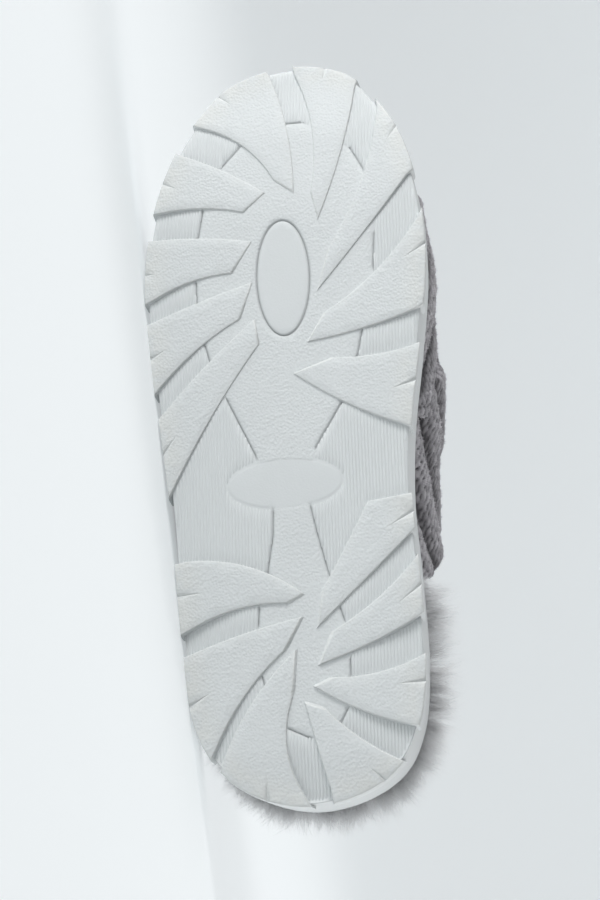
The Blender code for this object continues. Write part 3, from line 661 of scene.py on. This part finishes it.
def arch_point(along, turn):
    """Outer face of the arch that the bands lie on. A turn runs from 0 at the inner rim to 1 at the outer rim."""
    lateral, medial = side_reach(along)
    half, middle = (lateral + medial) / 2 - ARCH_RIM_INSET, (medial - lateral) / 2
    cosine, sine = np.cos(np.pi * turn), np.sin(np.pi * turn)
    rise = np.abs(sine) ** (2 / ARCH_FULLNESS)
    inner = smooth_table(INSTEP_ALONG, INSTEP_INNER_BULGE, along)
    outer = smooth_table(INSTEP_ALONG, INSTEP_OUTER_BULGE, along)
    bulge = np.where(cosine > 0, inner, outer) * 4 * rise * (1 - rise)
    reach = half * np.abs(cosine) ** (2 / ARCH_FULLNESS) + bulge
    across = middle + np.sign(cosine) * reach + INSTEP_LEAN * rise
    up = sole_top(along) + PIECE_GAP + smooth_table(INSTEP_ALONG, INSTEP_HEIGHT, along) * rise
    return np.stack((along, across, up), axis=-1)


def arch_normal(along, turn):
    """The way out of the arch, level at the rims."""
    low, high = np.maximum(turn - TURN_STEP, 0.0), np.minimum(turn + TURN_STEP, 1.0)
    around = arch_point(along, high) - arch_point(along, low)
    forward = arch_point(along + 1.0, turn) - arch_point(along - 1.0, turn)
    at_rim = (turn <= 0.0) | (turn >= 1.0)
    around[at_rim, :2] = 0.0
    forward[at_rim, 2] = 0.0
    return unit(np.cross(around, forward))


def band_lift(along, turn):
    """How far the over band stands off the arch, to lie on the under band."""
    rear, front = smooth_table(BAND_TURNS, UNDER_REAR, turn), smooth_table(BAND_TURNS, UNDER_FRONT, turn)
    beside = np.maximum(np.maximum(rear - along, along - front), 0.0)
    ends = smoothstep(0.0, BAND_END_DRAPE, np.minimum(turn, 1.0 - turn))
    return (BAND_THICKNESS - BAND_JOIN) * (1.0 - smoothstep(0.0, BAND_DRAPE, beside)) * ends


class Band:
    """One band as a surface: a turn from rim to rim, and a share from its rear edge to its front edge."""

    def __init__(self, rear, front, over):
        self.rear, self.front, self.over = rear, front, over
        self.turns = np.linspace(0.0, 1.0, BAND_SAMPLES)
        middle = self.along(self.turns, np.full(BAND_SAMPLES, 0.5))
        self.length_at = way_along(arch_point(middle, self.turns))

    def along(self, turn, share):
        rear, front = smooth_table(BAND_TURNS, self.rear, turn), smooth_table(BAND_TURNS, self.front, turn)
        return rear + (front - rear) * share

    def width(self, turn):
        rear, front = smooth_table(BAND_TURNS, self.rear, turn), smooth_table(BAND_TURNS, self.front, turn)
        return BAND_WIDTH_SHARE * (front - rear)

    def quilting(self, turn, share):
        """Millimetres across the channels and along them."""
        length = np.interp(turn, self.turns, self.length_at)
        across = (share - 0.5) * self.width(turn) * (1.0 if self.over else -1.0)
        sine, cosine = math.sin(CHANNEL_SLANT), math.cos(CHANNEL_SLANT)
        return length * sine + across * cosine, length * cosine - across * sine

    def seam(self, turn, share):
        """1 on a stitched seam, falling to 0 in the middle of a channel."""
        return 1.0 - np.abs(np.sin(np.pi * self.quilting(turn, share)[0] / CHANNEL_PITCH)) ** SEAM_SHARPNESS

    def bobble(self, turn, share):
        """Height of the looped yarn, from 0 between its rows to 1 on a loop."""
        across, along = self.quilting(turn, share)
        wave = YARN_WAVE * np.sin(across * 0.37 - along * 0.23)
        row = (along + YARN_SLANT * across + wave) / YARN_PITCH
        line = np.floor(row)
        loop = across / BOBBLE_PITCH + 0.5 * line + 0.2 * np.sin(line * 2.3)
        cell = np.floor(loop)
        # A fixed chance for each loop, the same on every run.
        chance = np.modf(np.abs(np.sin(line * 12.9898 + cell * 78.233)) * 4375.85)[0]
        off = (2 * (row - line) - 1) ** 2 + (2 * (loop - cell) - 1 + 0.5 * (chance - 0.5)) ** 2
        return np.sqrt(np.clip(1.0 - 0.7 * off, 0.0, 1.0)) * (0.6 + 0.4 * chance)

    def surface(self, turn, share):
        """Base point and normal on the arch, and the heights of the outer and inner faces over it."""
        along = self.along(turn, share)
        lift = band_lift(along, turn) if self.over else np.zeros_like(along)
        from_edge = np.minimum(share, 1.0 - share) * self.width(turn)
        to_edge = 1.0 - np.clip(from_edge / EDGE_ROUNDING, 0.0, 1.0)
        round_off = (1.0 - to_edge**EDGE_FULLNESS) ** EDGE_STEEPNESS
        seam = self.seam(turn, share)
        loops = BOBBLE_HEIGHT * (self.bobble(turn, share) - BOBBLE_LEVEL) * (1.0 - seam)
        crown = CHANNEL_CROWN - CHANNEL_DEPTH * seam + loops
        middle = lift - BAND_THICKNESS / 2
        outer = middle + (BAND_THICKNESS / 2 + crown) * round_off
        inner = middle - BAND_THICKNESS / 2 * round_off
        return arch_point(along, turn), arch_normal(along, turn), outer, inner


def press_on_floor(points):
    """The points, with those that would sink into the floor pressed up to lie on it."""
    sunk = np.maximum(FLOOR_CLEARANCE - to_room(points)[:, 2], 0.0)
    return points + SHOE_IN_ROOM[2] * (sunk / MM)[:, None]


pile_tone = bpy.data.node_groups.new("pile_tone", "ShaderNodeTree")
for socket, kind, way in (
    ("Root Colour", "NodeSocketColor", "INPUT"),
    ("Tip Colour", "NodeSocketColor", "INPUT"),
    ("Unevenness", "NodeSocketFloat", "INPUT"),
    ("Colour", "NodeSocketColor", "OUTPUT"),
):
    pile_tone.interface.new_socket(socket, in_out=way, socket_type=kind)
group_in = add_node(pile_tone, "NodeGroupInput", (-700, 0))
group_out = add_node(pile_tone, "NodeGroupOutput", (300, 0))
tip_mark = add_node(pile_tone, "ShaderNodeAttribute", (-700, 260), attribute_name="tip")
tone_mark = add_node(pile_tone, "ShaderNodeAttribute", (-700, -260), attribute_name="tone")
uneven = add_node(pile_tone, "ShaderNodeMath", (-460, -200), operation="MULTIPLY")
reach = add_node(pile_tone, "ShaderNodeMath", (-240, 120), operation="ADD", use_clamp=True)
blend = add_node(pile_tone, "ShaderNodeMix", (40, 0), data_type="RGBA")
for start, end in (
    (tone_mark.outputs["Fac"], uneven.inputs[0]),
    (group_in.outputs["Unevenness"], uneven.inputs[1]),
    (tip_mark.outputs["Fac"], reach.inputs[0]),
    (uneven.outputs["Value"], reach.inputs[1]),
    (reach.outputs["Value"], blend.inputs["Factor"]),
    (group_in.outputs["Root Colour"], blend.inputs["A"]),
    (group_in.outputs["Tip Colour"], blend.inputs["B"]),
    (blend.outputs["Result"], group_out.inputs["Colour"]),
):
    pile_tone.links.new(start, end)


def pile_material(name, root, tip, unevenness, roughness, sheen):
    """A material of fibres, darker at the root and lighter at the tip; on the knit the dark root is painted shade."""
    material, shader = principled(name, roughness, Sheen_Weight=sheen, Sheen_Roughness=0.5, Specular_IOR_Level=0.2)
    group = add_node(material.node_tree, "ShaderNodeGroup", (-300, 200), node_tree=pile_tone)
    group.inputs["Root Colour"].default_value = root
    group.inputs["Tip Colour"].default_value = tip
    group.inputs["Unevenness"].default_value = unevenness
    material.node_tree.links.new(group.outputs["Colour"], shader.inputs["Base Color"])
    return material, shader


fibre_relief = bpy.data.node_groups.new("fibre_relief", "ShaderNodeTree")
fibre_relief.interface.new_socket("Fineness", in_out="INPUT", socket_type="NodeSocketFloat")
fibre_relief.interface.new_socket("Depth", in_out="INPUT", socket_type="NodeSocketFloat")
fibre_relief.interface.new_socket("Normal", in_out="OUTPUT", socket_type="NodeSocketVector")
group_in = add_node(fibre_relief, "NodeGroupInput", (-700, -200))
group_out = add_node(fibre_relief, "NodeGroupOutput", (200, 0))
where = add_node(fibre_relief, "ShaderNodeTexCoord", (-700, 100))
fibres = add_node(fibre_relief, "ShaderNodeTexNoise", (-460, 0), Detail=4.0, Roughness=0.7)
relief = add_node(fibre_relief, "ShaderNodeBump", (-140, 0), Strength=0.9)
for start, end in (
    (where.outputs["Object"], fibres.inputs["Vector"]),
    (group_in.outputs["Fineness"], fibres.inputs["Scale"]),
    (fibres.outputs["Fac"], relief.inputs["Height"]),
    (group_in.outputs["Depth"], relief.inputs["Distance"]),
    (relief.outputs["Normal"], group_out.inputs["Normal"]),
):
    fibre_relief.links.new(start, end)


def add_fibres(material, shader, fineness, depth):
    """Fine fibre relief on a textile."""
    group = add_node(material.node_tree, "ShaderNodeGroup", (-300, -200), node_tree=fibre_relief)
    group.inputs["Fineness"].default_value = fineness
    group.inputs["Depth"].default_value = depth
    material.node_tree.links.new(group.outputs["Normal"], shader.inputs["Normal"])


knit, knit_shader = pile_material(
    "chenille_knit", KNIT_ROOT_SHADE, KNIT_TIP, unevenness=0.36, roughness=0.95, sheen=0.25
)
add_fibres(knit, knit_shader, fineness=900.0, depth=0.0006)
bands = {
    "under_band": Band(UNDER_REAR, UNDER_FRONT, over=False),
    "over_band": Band(OVER_REAR, OVER_FRONT, over=True),
}
for name, band in bands.items():
    turn = np.repeat(np.linspace(0, 1, BAND_SECTIONS + 1), BAND_ACROSS + 1)
    share = np.tile(np.linspace(0, 1, BAND_ACROSS + 1), BAND_SECTIONS + 1)
    base, normal, outer, inner = band.surface(turn, share)
    sheets = press_on_floor(np.vstack((base + normal * outer[:, None], base + normal * inner[:, None])))
    row, half = BAND_ACROSS + 1, len(base)
    corner = np.add.outer(np.arange(BAND_SECTIONS) * row, np.arange(BAND_ACROSS)).ravel()
    quads = np.stack((corner, corner + 1, corner + row + 1, corner + row), axis=1)
    faces = quads.tolist() + (quads[:, ::-1] + half).tolist()
    for ends in (np.arange(row), BAND_SECTIONS * row + np.arange(row)):
        faces += np.stack((ends[:-1], ends[1:], ends[1:] + half, ends[:-1] + half), axis=1).tolist()
    # Painted light on the loops, painted shade in the hollows between them and on the seams.
    outside_shade_share = BOBBLE_PAINTED_LIGHT * band.bobble(turn, share) - SEAM_PAINTED_SHADE * band.seam(turn, share)
    tip = np.clip(np.concatenate((outside_shade_share, np.full(half, LINING_LIGHT))), 0, 1)
    piece = make_piece(name, sheets, faces, knit, "knit", weld=True, tip=tip, tone=np.zeros(2 * half))
    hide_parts("upper")

# The chenille's pile: short soft fibres that stand out of the yarn all over the bands and lean along the channels.
# They are cut from the yarn itself and twisted into its core.
PILE_OUTSIDE, PILE_INSIDE = 50000, 14000
PILE_LENGTH, PILE_WIDTH, PILE_LEAN = 1.5, 0.26, 0.9
PILE_EDGE, PILE_EDGE_LEAN = 0.035, 1.6
PILE_ROOT_DEPTH, PILE_SHARE_STEP, PILE_RIM_GAP = 0.25, 0.01, 0.004
PILE_LENGTH_RANGE, PILE_SEAM_SHORTER, PILE_HOLLOW_SHORTER = (0.5, 1.1), 0.85, 0.8
PILE_TONE_SPREAD, PILE_PAINTED_SHADE_DEPTH, PILE_PAINTED_SHADE_LEVEL = 0.6, 2.6, 0.55
LINING_BOBBLE = 0.6
PILE_ROOT_SHADE_TIPS = (0.35, 0.35, 0.85)
draw = np.random.default_rng(11)
for name, band in bands.items():
    count = PILE_OUTSIDE + PILE_INSIDE
    outside = np.arange(count) < PILE_OUTSIDE
    turn = draw.uniform(PILE_RIM_GAP, 1.0 - PILE_RIM_GAP, count)
    share = draw.uniform(0.0, 1.0, count)
    base, normal, outer, inner = band.surface(turn, share)
    root = base + normal * np.where(outside, outer - PILE_ROOT_DEPTH, inner + PILE_ROOT_DEPTH)[:, None]
    ahead, behind = np.minimum(share + PILE_SHARE_STEP, 1.0), np.maximum(share - PILE_SHARE_STEP, 0.0)
    to_front = unit(band.surface(turn, ahead)[0] - band.surface(turn, behind)[0])
    near_edge = np.clip(1.0 - np.minimum(share, 1.0 - share) / PILE_EDGE, 0.0, 1.0)
    over_edge = np.sign(share - 0.5) * near_edge * PILE_EDGE_LEAN
    out = normal * np.where(outside, 1.0, -1.0)[:, None] + to_front * over_edge[:, None]
    step = unit(band.surface(np.clip(turn + TURN_STEP, 0, 1), share)[0] - base)
    lean = step * draw.normal(0.5, 0.5, count)[:, None] + draw.normal(0.0, 0.45, (count, 3))
    seam = np.where(outside, band.seam(turn, share), 0.0)
    bobble = np.where(outside, band.bobble(turn, share), LINING_BOBBLE)
    length = PILE_LENGTH * draw.uniform(*PILE_LENGTH_RANGE, count) * (1.0 - PILE_SEAM_SHORTER * seam)
    length *= 1.0 - PILE_HOLLOW_SHORTER * (1.0 - bobble)
    way = out + lean * PILE_LEAN
    tip_at = root + way * (length / np.linalg.norm(way, axis=1))[:, None]
    side = np.cross(tip_at - root, draw.normal(size=(count, 3)))
    side *= PILE_WIDTH / 2 / np.linalg.norm(side, axis=1)[:, None]
    points = press_on_floor(np.stack((root - side, root + side, tip_at), axis=1).reshape(-1, 3))
    # Random tone, plus painted light on the loops and painted shade in their hollows and on the seams.
    tone = draw.normal(0.0, PILE_TONE_SPREAD, count) + PILE_PAINTED_SHADE_DEPTH * (bobble - PILE_PAINTED_SHADE_LEVEL - seam)
    faces = np.arange(3 * count).reshape(-1, 3)
    # Each blade is painted in shade at its root and lighter towards its tip.
    tip = np.tile(PILE_ROOT_SHADE_TIPS, count)
    make_piece(name + "_pile", points, faces, knit, "knit", tip=tip, tone=np.repeat(tone, 3))

# The quilting stitches: thread sunk between the channels, in short even stitches from edge to edge, near black as
# painted shade of the dimples they pull into the knit.
# They hold the knit, its padding and its lining together.
STITCH_PITCH, STITCH_LENGTH, STITCH_RADIUS, STITCH_LIFT = 3.3, 2.1, 0.62, 0.25
STITCH_PROFILE = np.array(((-0.5, 0.35), (-0.3, 1.0), (0.3, 1.0), (0.5, 0.35)))  # share along, thickness
STITCH_SIDES = range(6)
SEAM_LINES, SEAM_ENDS, SEAM_FEWEST_POINTS = range(-6, 22), (0.015, 0.985), 12
SEAM_SHARES, SEAM_TURNS = np.linspace(0.02, 0.98, 300), np.linspace(0.0, 1.0, 1200)
# The thread's near-black colour is painted shade of the stitch dimples.
THREAD_PAINTED_SHADE = (0.035, 0.033, 0.036, 1.0)
thread, thread_shader = principled("stitch_thread_and_shade", 0.8, Base_Color=THREAD_PAINTED_SHADE)
add_fibres(thread, thread_shader, fineness=2500.0, depth=0.0002)
stitch_points, stitch_faces = [], []
per_side = len(STITCH_PROFILE)
for band in bands.values():
    across = [band.quilting(SEAM_TURNS, np.full(len(SEAM_TURNS), share))[0] for share in SEAM_SHARES]
    for line in SEAM_LINES:
        turn = np.array([np.interp(line * CHANNEL_PITCH, row, SEAM_TURNS, left=-1, right=-1) for row in across])
        on = (turn > SEAM_ENDS[0]) & (turn < SEAM_ENDS[1])
        if on.sum() < SEAM_FEWEST_POINTS:
            continue
        base, normal, outer, _ = band.surface(turn[on], SEAM_SHARES[on])
        path = base + normal * (outer + STITCH_LIFT)[:, None]
        way = way_along(path)
        for middle in np.arange(STITCH_PITCH / 2, way[-1] - STITCH_PITCH / 2, STITCH_PITCH):
            at = middle + STITCH_PROFILE[:, 0] * STITCH_LENGTH
            core, up = on_path(at, way, path), on_path(at, way, normal)
            along = core[-1] - core[0]
            along /= np.linalg.norm(along)
            side = np.cross(up, along)
            thick = STITCH_RADIUS * STITCH_PROFILE[:, 1:]
            first = sum(len(part) for part in stitch_points)
            for angle in np.linspace(0, 2 * math.pi, len(STITCH_SIDES), endpoint=False):
                stitch_points.append(core + thick * (side * math.cos(angle) + up * math.sin(angle)))
            starts = [first + per_side * a for a in STITCH_SIDES]
            for here, there in zip(starts, starts[1:] + starts[:1]):
                stitch_faces += [[here + k, here + k + 1, there + k + 1, there + k] for k in range(per_side - 1)]
            stitch_faces += [starts, [start + per_side - 1 for start in reversed(starts)]]
make_piece("quilting_stitches", press_on_floor(np.vstack(stitch_points)), stitch_faces, thread, "knit", weld=True)

# The footbed: an insole board padded and covered in a grey long-pile plush, glued to the sole inside the bands.
# Its ground shows only as the grey depth between the hairs.
FOOTBED_FREE_INSET, FOOTBED_BAND_INSET = 2.6, 9.0
FOOTBED_BAND_START, FOOTBED_BAND_END, FOOTBED_FADE = 61.0, 232.0, 10.0
GROUND_RINGS = ((2.2, 0.0), (0.6, 1.4), (0.4, 3.4), (1.2, 5.4), (4.0, 7.0), (9.0, 7.6), (17.0, 7.4), (26.0, 7.2))
FUR_ROOT = (0.840, 0.840, 0.846, 1.0)
FUR_TIP = (0.970, 0.970, 0.975, 1.0)
GROUND_TIP = 0.18


def footbed_inset(along):
    """How far the footbed lies inside the rim, more where the bands hold it."""
    held = smoothstep(FOOTBED_BAND_START, FOOTBED_BAND_START + FOOTBED_FADE, along)
    held *= 1.0 - smoothstep(FOOTBED_BAND_END - FOOTBED_FADE, FOOTBED_BAND_END, along)
    return FOOTBED_FREE_INSET + (FOOTBED_BAND_INSET - FOOTBED_FREE_INSET) * held


def footbed_loop(inset):
    """The footbed's outline drawn in by inset."""
    return inset_loop(rim, inset + footbed_inset(rim[:, 0]))


plush, plush_shader = pile_material("plush_fur", FUR_ROOT, FUR_TIP, unevenness=0.16, roughness=0.9, sheen=0.8)
add_fibres(plush, plush_shader, fineness=700.0, depth=0.0008)
ground_points, ground_faces = [], []
ring_ids = np.arange(rim_size)
for inset, rise in GROUND_RINGS:
    loop = footbed_loop(inset)
    if ground_points:
        ground_faces += ring_faces(ring_ids, ring_ids + rim_size)
        ring_ids = ring_ids + rim_size
    ground_points.append(np.column_stack((loop, sole_top(loop[:, 0]) + PIECE_GAP + rise)))
ground_faces += cap_faces(np.arange(rim_size)) + cap_faces(ring_ids)
ground_points = np.vstack(ground_points)
ground = make_piece(
    "footbed", ground_points, ground_faces, plush, "fur", weld=True,
    tip=np.full(len(ground_points), GROUND_TIP), tone=np.zeros(len(ground_points)),
)
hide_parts("fur_footbed")

# The fur: long grey hairs of the plush, gathered in pointed locks, pale at the tips and greyer at the roots.
# Round the heel they spill over the sole's edge. Under the outer side, which the shoe lies on, they are
# pressed short.
FUR_BACK, FUR_INNER, FUR_OUTER, FUR_TOE = 9.0, 12.5, 6.0, 6.0
FUR_LEAST, FUR_TOE_OUTER_SHARE = 1.2, 0.5
HEEL_FADE, TOE_FADE = (70.0, 80.0), (214.0, 226.0)
HEEL_EDGE_END, HEEL_EDGE_INSET, HEEL_HIGH_INSET = 80.0, 4.0, 2.5
TOE_EDGE_START, TOE_EDGE_INSET = 216.0, 5.0
LOCK_REACH, LOCK_SWERVE, LOCK_CURL, LOCK_RISE = (0.7, 1.15), 0.28, 0.34, 0.5
HAIR_REACH, HAIR_ROOT_DEPTH, HAIR_STRAY, HAIR_GATHER = (0.6, 1.12), 2.5, 0.5, 0.4
HAIR_ARCH, HAIR_ARCH_LEAST, HAIR_TAPER = 0.28, 0.6, 0.85
EDGE_TONE_SPREAD = 0.7
EDGE_HAIR_WIDTH, PAD_HAIR_WIDTH, HAIR_SEGMENTS = 0.12, 0.18, 3


def hair_mesh(name, roots, mids, tips, tone, width):
    """Tapered ribbons along curves from the roots, bent by the mids, to the tips."""
    count = len(roots)
    t = np.linspace(0.0, 1.0, HAIR_SEGMENTS + 1)[None, :, None]
    path = roots[:, None] * (1 - t) ** 2 + mids[:, None] * 2 * t * (1 - t) + tips[:, None] * t**2
    side = unit(np.cross(tips - roots, draw.normal(size=(count, 3))))
    half = width / 2 * (1.0 - HAIR_TAPER * t**1.5)
    points = np.concatenate((path - side[:, None] * half, path + side[:, None] * half), axis=1).reshape(-1, 3)
    points = press_on_floor(points)
    per = 2 * (HAIR_SEGMENTS + 1)
    a = (np.arange(count) * per)[:, None] + np.arange(HAIR_SEGMENTS)[None, :]
    b = a + HAIR_SEGMENTS + 1
    faces = np.stack((a, a + 1, b + 1, b), axis=2).reshape(-1, 4)
    tip = np.tile(np.tile(t[0, :, 0], 2), count)
    make_piece(name, points, faces, plush, "fur", tip=tip, tone=np.repeat(tone, per))


def edge_reach(centre, rays):
    """How far the locks stand out at each place on the footbed's edge."""
    behind = 1.0 - smoothstep(*HEEL_FADE, centre[:, 0])
    ahead = smoothstep(*TOE_FADE, centre[:, 0])
    inner, outer = np.maximum(rays[:, 1], 0) ** 2, np.maximum(-rays[:, 1], 0) ** 2
    back = np.maximum(-rays[:, 0], 0) ** 2
    heel = FUR_INNER * inner + FUR_OUTER * outer + FUR_BACK * back
    toe = FUR_TOE * (1.0 - FUR_TOE_OUTER_SHARE * outer)
    return np.maximum(behind * heel + ahead * toe, FUR_LEAST)


def fur_locks(name, lock_count, hairs_per_lock, root_loop, root_rise, up, spread):
    """Locks rooted along a loop of the footbed and at a range of rises, with tips that stand up over them."""
    place = draw.integers(0, len(root_loop), lock_count)
    centre = root_loop[place]
    rays = centre - inset_loop(centre, 1.0)
    lock_out = edge_reach(centre, rays) * draw.uniform(*LOCK_REACH, lock_count)
    swerve = draw.normal(0.0, LOCK_SWERVE, lock_count)
    curl = draw.normal(0.0, LOCK_CURL, lock_count)
    away = np.stack((rays[:, 0] - swerve * rays[:, 1], rays[:, 1] + swerve * rays[:, 0]), axis=1)
    lock_up = up * draw.normal(1.0, LOCK_RISE, lock_count)
    rise = draw.uniform(*root_rise, lock_count)
    lock = np.repeat(np.arange(lock_count), hairs_per_lock)
    count = len(lock)
    jitter = draw.normal(0.0, spread, (count, 2))
    root_plan = centre[lock] + jitter - rays[lock] * draw.uniform(0.0, HAIR_ROOT_DEPTH, count)[:, None]
    root_up = sole_top(root_plan[:, 0]) + PIECE_GAP + rise[lock] + draw.normal(0, HAIR_STRAY, count)
    roots = np.column_stack((root_plan, root_up))
    reach = lock_out[lock] * draw.uniform(*HAIR_REACH, count)
    tip_plan = centre[lock] + away[lock] * reach[:, None] + jitter * HAIR_GATHER
    tip_plan = tip_plan + draw.normal(0, HAIR_STRAY, (count, 2))
    tips = np.column_stack((tip_plan, roots[:, 2] + lock_up[lock] + draw.normal(0, HAIR_STRAY, count)))
    mids = (roots + tips) / 2
    mids[:, 2] += HAIR_ARCH * reach + HAIR_ARCH_LEAST
    mids[:, 0] -= rays[lock, 1] * curl[lock] * reach
    mids[:, 1] += rays[lock, 0] * curl[lock] * reach
    tone = (draw.normal(0, 1, lock_count)[lock] + draw.normal(0, 1, count)) * EDGE_TONE_SPREAD
    hair_mesh(name, roots, mids, tips, tone, EDGE_HAIR_WIDTH)


heel_edge = inset_loop(rim[rim[:, 0] < HEEL_EDGE_END], HEEL_EDGE_INSET)
heel_high_edge = inset_loop(heel_edge, HEEL_HIGH_INSET)
toe_edge = inset_loop(rim[rim[:, 0] > TOE_EDGE_START], TOE_EDGE_INSET)
fur_locks("fur_heel_low", 520, 22, heel_edge, root_rise=(1.5, 5.5), up=-1.6, spread=1.3)
fur_locks("fur_heel_high", 520, 22, heel_high_edge, root_rise=(4.5, 8.0), up=1.6, spread=1.5)
fur_locks("fur_toe", 460, 22, toe_edge, root_rise=(2.5, 7.5), up=0.8, spread=1.3)

PAD_LOCKS, PAD_HAIRS_PER_LOCK = 3400, 12
PAD_ALONG, PAD_ACROSS = (4.0, 252.0), (-46.0, 42.0)
PAD_LOCK_INSET, PAD_HAIR_INSET, PAD_SPREAD = 3.0, 1.5, 1.3
PAD_ROOT_RISE, PAD_TIP_RISE, PAD_ARCH = 6.6, (0.3, 0.62), 1.8
PAD_LAY, PAD_LAY_SPREAD, PAD_STRAY, FUR_TOP = -4.6, (2.2, 3.2), 0.8, 9.0
pad = np.column_stack((draw.uniform(*PAD_ALONG, PAD_LOCKS), draw.uniform(*PAD_ACROSS, PAD_LOCKS)))
pad = pad[inside(pad, footbed_loop(PAD_LOCK_INSET))]
lock = np.repeat(np.arange(len(pad)), PAD_HAIRS_PER_LOCK)
root_plan = pad[lock] + draw.normal(0.0, PAD_SPREAD, (len(lock), 2))
kept = inside(root_plan, footbed_loop(PAD_HAIR_INSET))
root_plan, lock = root_plan[kept], lock[kept]
count = len(lock)
roots = np.column_stack((root_plan, sole_top(root_plan[:, 0]) + PIECE_GAP + PAD_ROOT_RISE))
lay_along = draw.normal(PAD_LAY, PAD_LAY_SPREAD[0], len(pad))
lay_across = draw.normal(0.0, PAD_LAY_SPREAD[1], len(pad))
tip_plan = root_plan + np.column_stack((lay_along, lay_across))[lock] + draw.normal(0, PAD_STRAY, (count, 2))
tips = np.column_stack((tip_plan, roots[:, 2] + FUR_TOP * draw.uniform(*PAD_TIP_RISE, count)))
mids = (roots + tips) / 2
mids[:, 2] += PAD_ARCH
hair_mesh("fur_pad", roots, mids, tips, draw.normal(0, 1, count), PAD_HAIR_WIDTH)

# The room: a pale floor that glows faintly and sweeps up into a backdrop, a soft sky, dark towards the heel,
# and lamps, the strongest low down on the toe's side.
# The camera looks at the tread from its heel end, rolled so that the toe is at the top of the picture.
FLOOR_COLOUR = (0.79, 0.815, 0.825, 1.0)
FLOOR_GLOW = 0.32
FLOOR_HALF_WIDTH, FLOOR_NEAR, BACKDROP_TOP = 6.0, -6.0, 4.0
COVE_START, COVE_RADIUS, COVE_STEPS = 2.2, 1.0, 12
SKY_COLOUR = (0.95, 0.98, 1.0, 1.0)
SKY_DARK_WAY, SKY_PALE, SKY_DARK = (0.55, -0.25, 0.797), 0.8, 0.1
LAMPS = (  # place, size, watts
    ("toe_side_light", (-1.2, -0.75, 0.3), 0.5, 12.5),
    ("heel_side_light", (1.3, 0.4, 0.6), 0.8, 9.0),
    ("back_light", (0.4, 1.5, 2.2), 2.4, 8.0),
)
LAMP_AIM = Vector((0.0, 0.0, 0.05))
profile = [(FLOOR_NEAR, 0.0), (COVE_START, 0.0)]
for angle in np.linspace(0, math.pi / 2, COVE_STEPS + 1)[1:]:
    profile.append((COVE_START + COVE_RADIUS * math.sin(angle), COVE_RADIUS * (1 - math.cos(angle))))
profile.append((COVE_START + COVE_RADIUS, BACKDROP_TOP))
floor_mesh = bpy.data.meshes.new("floor")
floor_mesh.from_pydata(
    [(x, y, z) for x in (-FLOOR_HALF_WIDTH, FLOOR_HALF_WIDTH) for y, z in profile],
    [],
    [(k, k + len(profile), k + len(profile) + 1, k + 1) for k in range(len(profile) - 1)],
)
floor_mesh.shade_smooth()
paper, _ = principled(
    "pale_paper", 0.9, Base_Color=FLOOR_COLOUR, Emission_Color=FLOOR_COLOUR, Emission_Strength=FLOOR_GLOW
)
floor_mesh.materials.append(paper)
floor = bpy.data.objects.new("floor", floor_mesh)
bpy.context.scene.collection.objects.link(floor)

world = bpy.data.worlds.new("room")
bpy.context.scene.world = world
world.use_nodes = True
sky = world.node_tree
sky.nodes["Background"].inputs["Color"].default_value = SKY_COLOUR
sky_way = add_node(sky, "ShaderNodeTexCoord", (-800, 0))
sky_share = add_node(sky, "ShaderNodeVectorMath", (-600, 0), operation="DOT_PRODUCT")
sky_share.inputs[1].default_value = SKY_DARK_WAY
sky_strength = add_node(sky, "ShaderNodeMapRange", (-400, 0))
for socket, value in (("From Min", 0.0), ("From Max", 1.0), ("To Min", SKY_PALE), ("To Max", SKY_DARK)):
    sky_strength.inputs[socket].default_value = value
sky.links.new(sky_way.outputs["Generated"], sky_share.inputs[0])
sky.links.new(sky_share.outputs["Value"], sky_strength.inputs["Value"])
sky.links.new(sky_strength.outputs["Result"], sky.nodes["Background"].inputs["Strength"])
for name, place, size, power in LAMPS:
    lamp = bpy.data.lights.new(name, "AREA")
    lamp.size = size
    lamp.energy = power
    light = bpy.data.objects.new(name, lamp)
    light.location = place
    light.rotation_mode = "QUATERNION"
    light.rotation_quaternion = (LAMP_AIM - Vector(place)).to_track_quat("-Z", "Y")
    bpy.context.scene.collection.objects.link(light)

# Eye, aim and the picture's up are in the shoe's frame.
EYE = np.array((-71.9, 91.4, -627.2))
AIM = np.array((121.7, -1.8, 19.8))
PICTURE_UP = np.array((0.95223, 0.07663, -0.29561))
FOCAL_PIXELS, PICTURE_PIXELS, SENSOR_WIDTH = 2020.0, 900.0, 36.0
eye, aim = Vector(to_room(EYE)), Vector(to_room(AIM))
look = (aim - eye).normalized()
up = Vector(SHOE_IN_ROOM @ PICTURE_UP)
right = look.cross(up).normalized()
lens = bpy.data.cameras.new("camera")
lens.sensor_fit = "AUTO"
lens.sensor_width = SENSOR_WIDTH
lens.lens = SENSOR_WIDTH * FOCAL_PIXELS / PICTURE_PIXELS
lens.clip_start, lens.clip_end = 0.01, 50.0
camera = bpy.data.objects.new("camera", lens)
camera.matrix_world = Matrix.Translation(eye) @ Matrix((right, right.cross(look), -look)).transposed().to_4x4()
bpy.context.scene.collection.objects.link(camera)
bpy.context.scene.camera = camera
bpy.context.scene.view_settings.view_transform = "Standard"
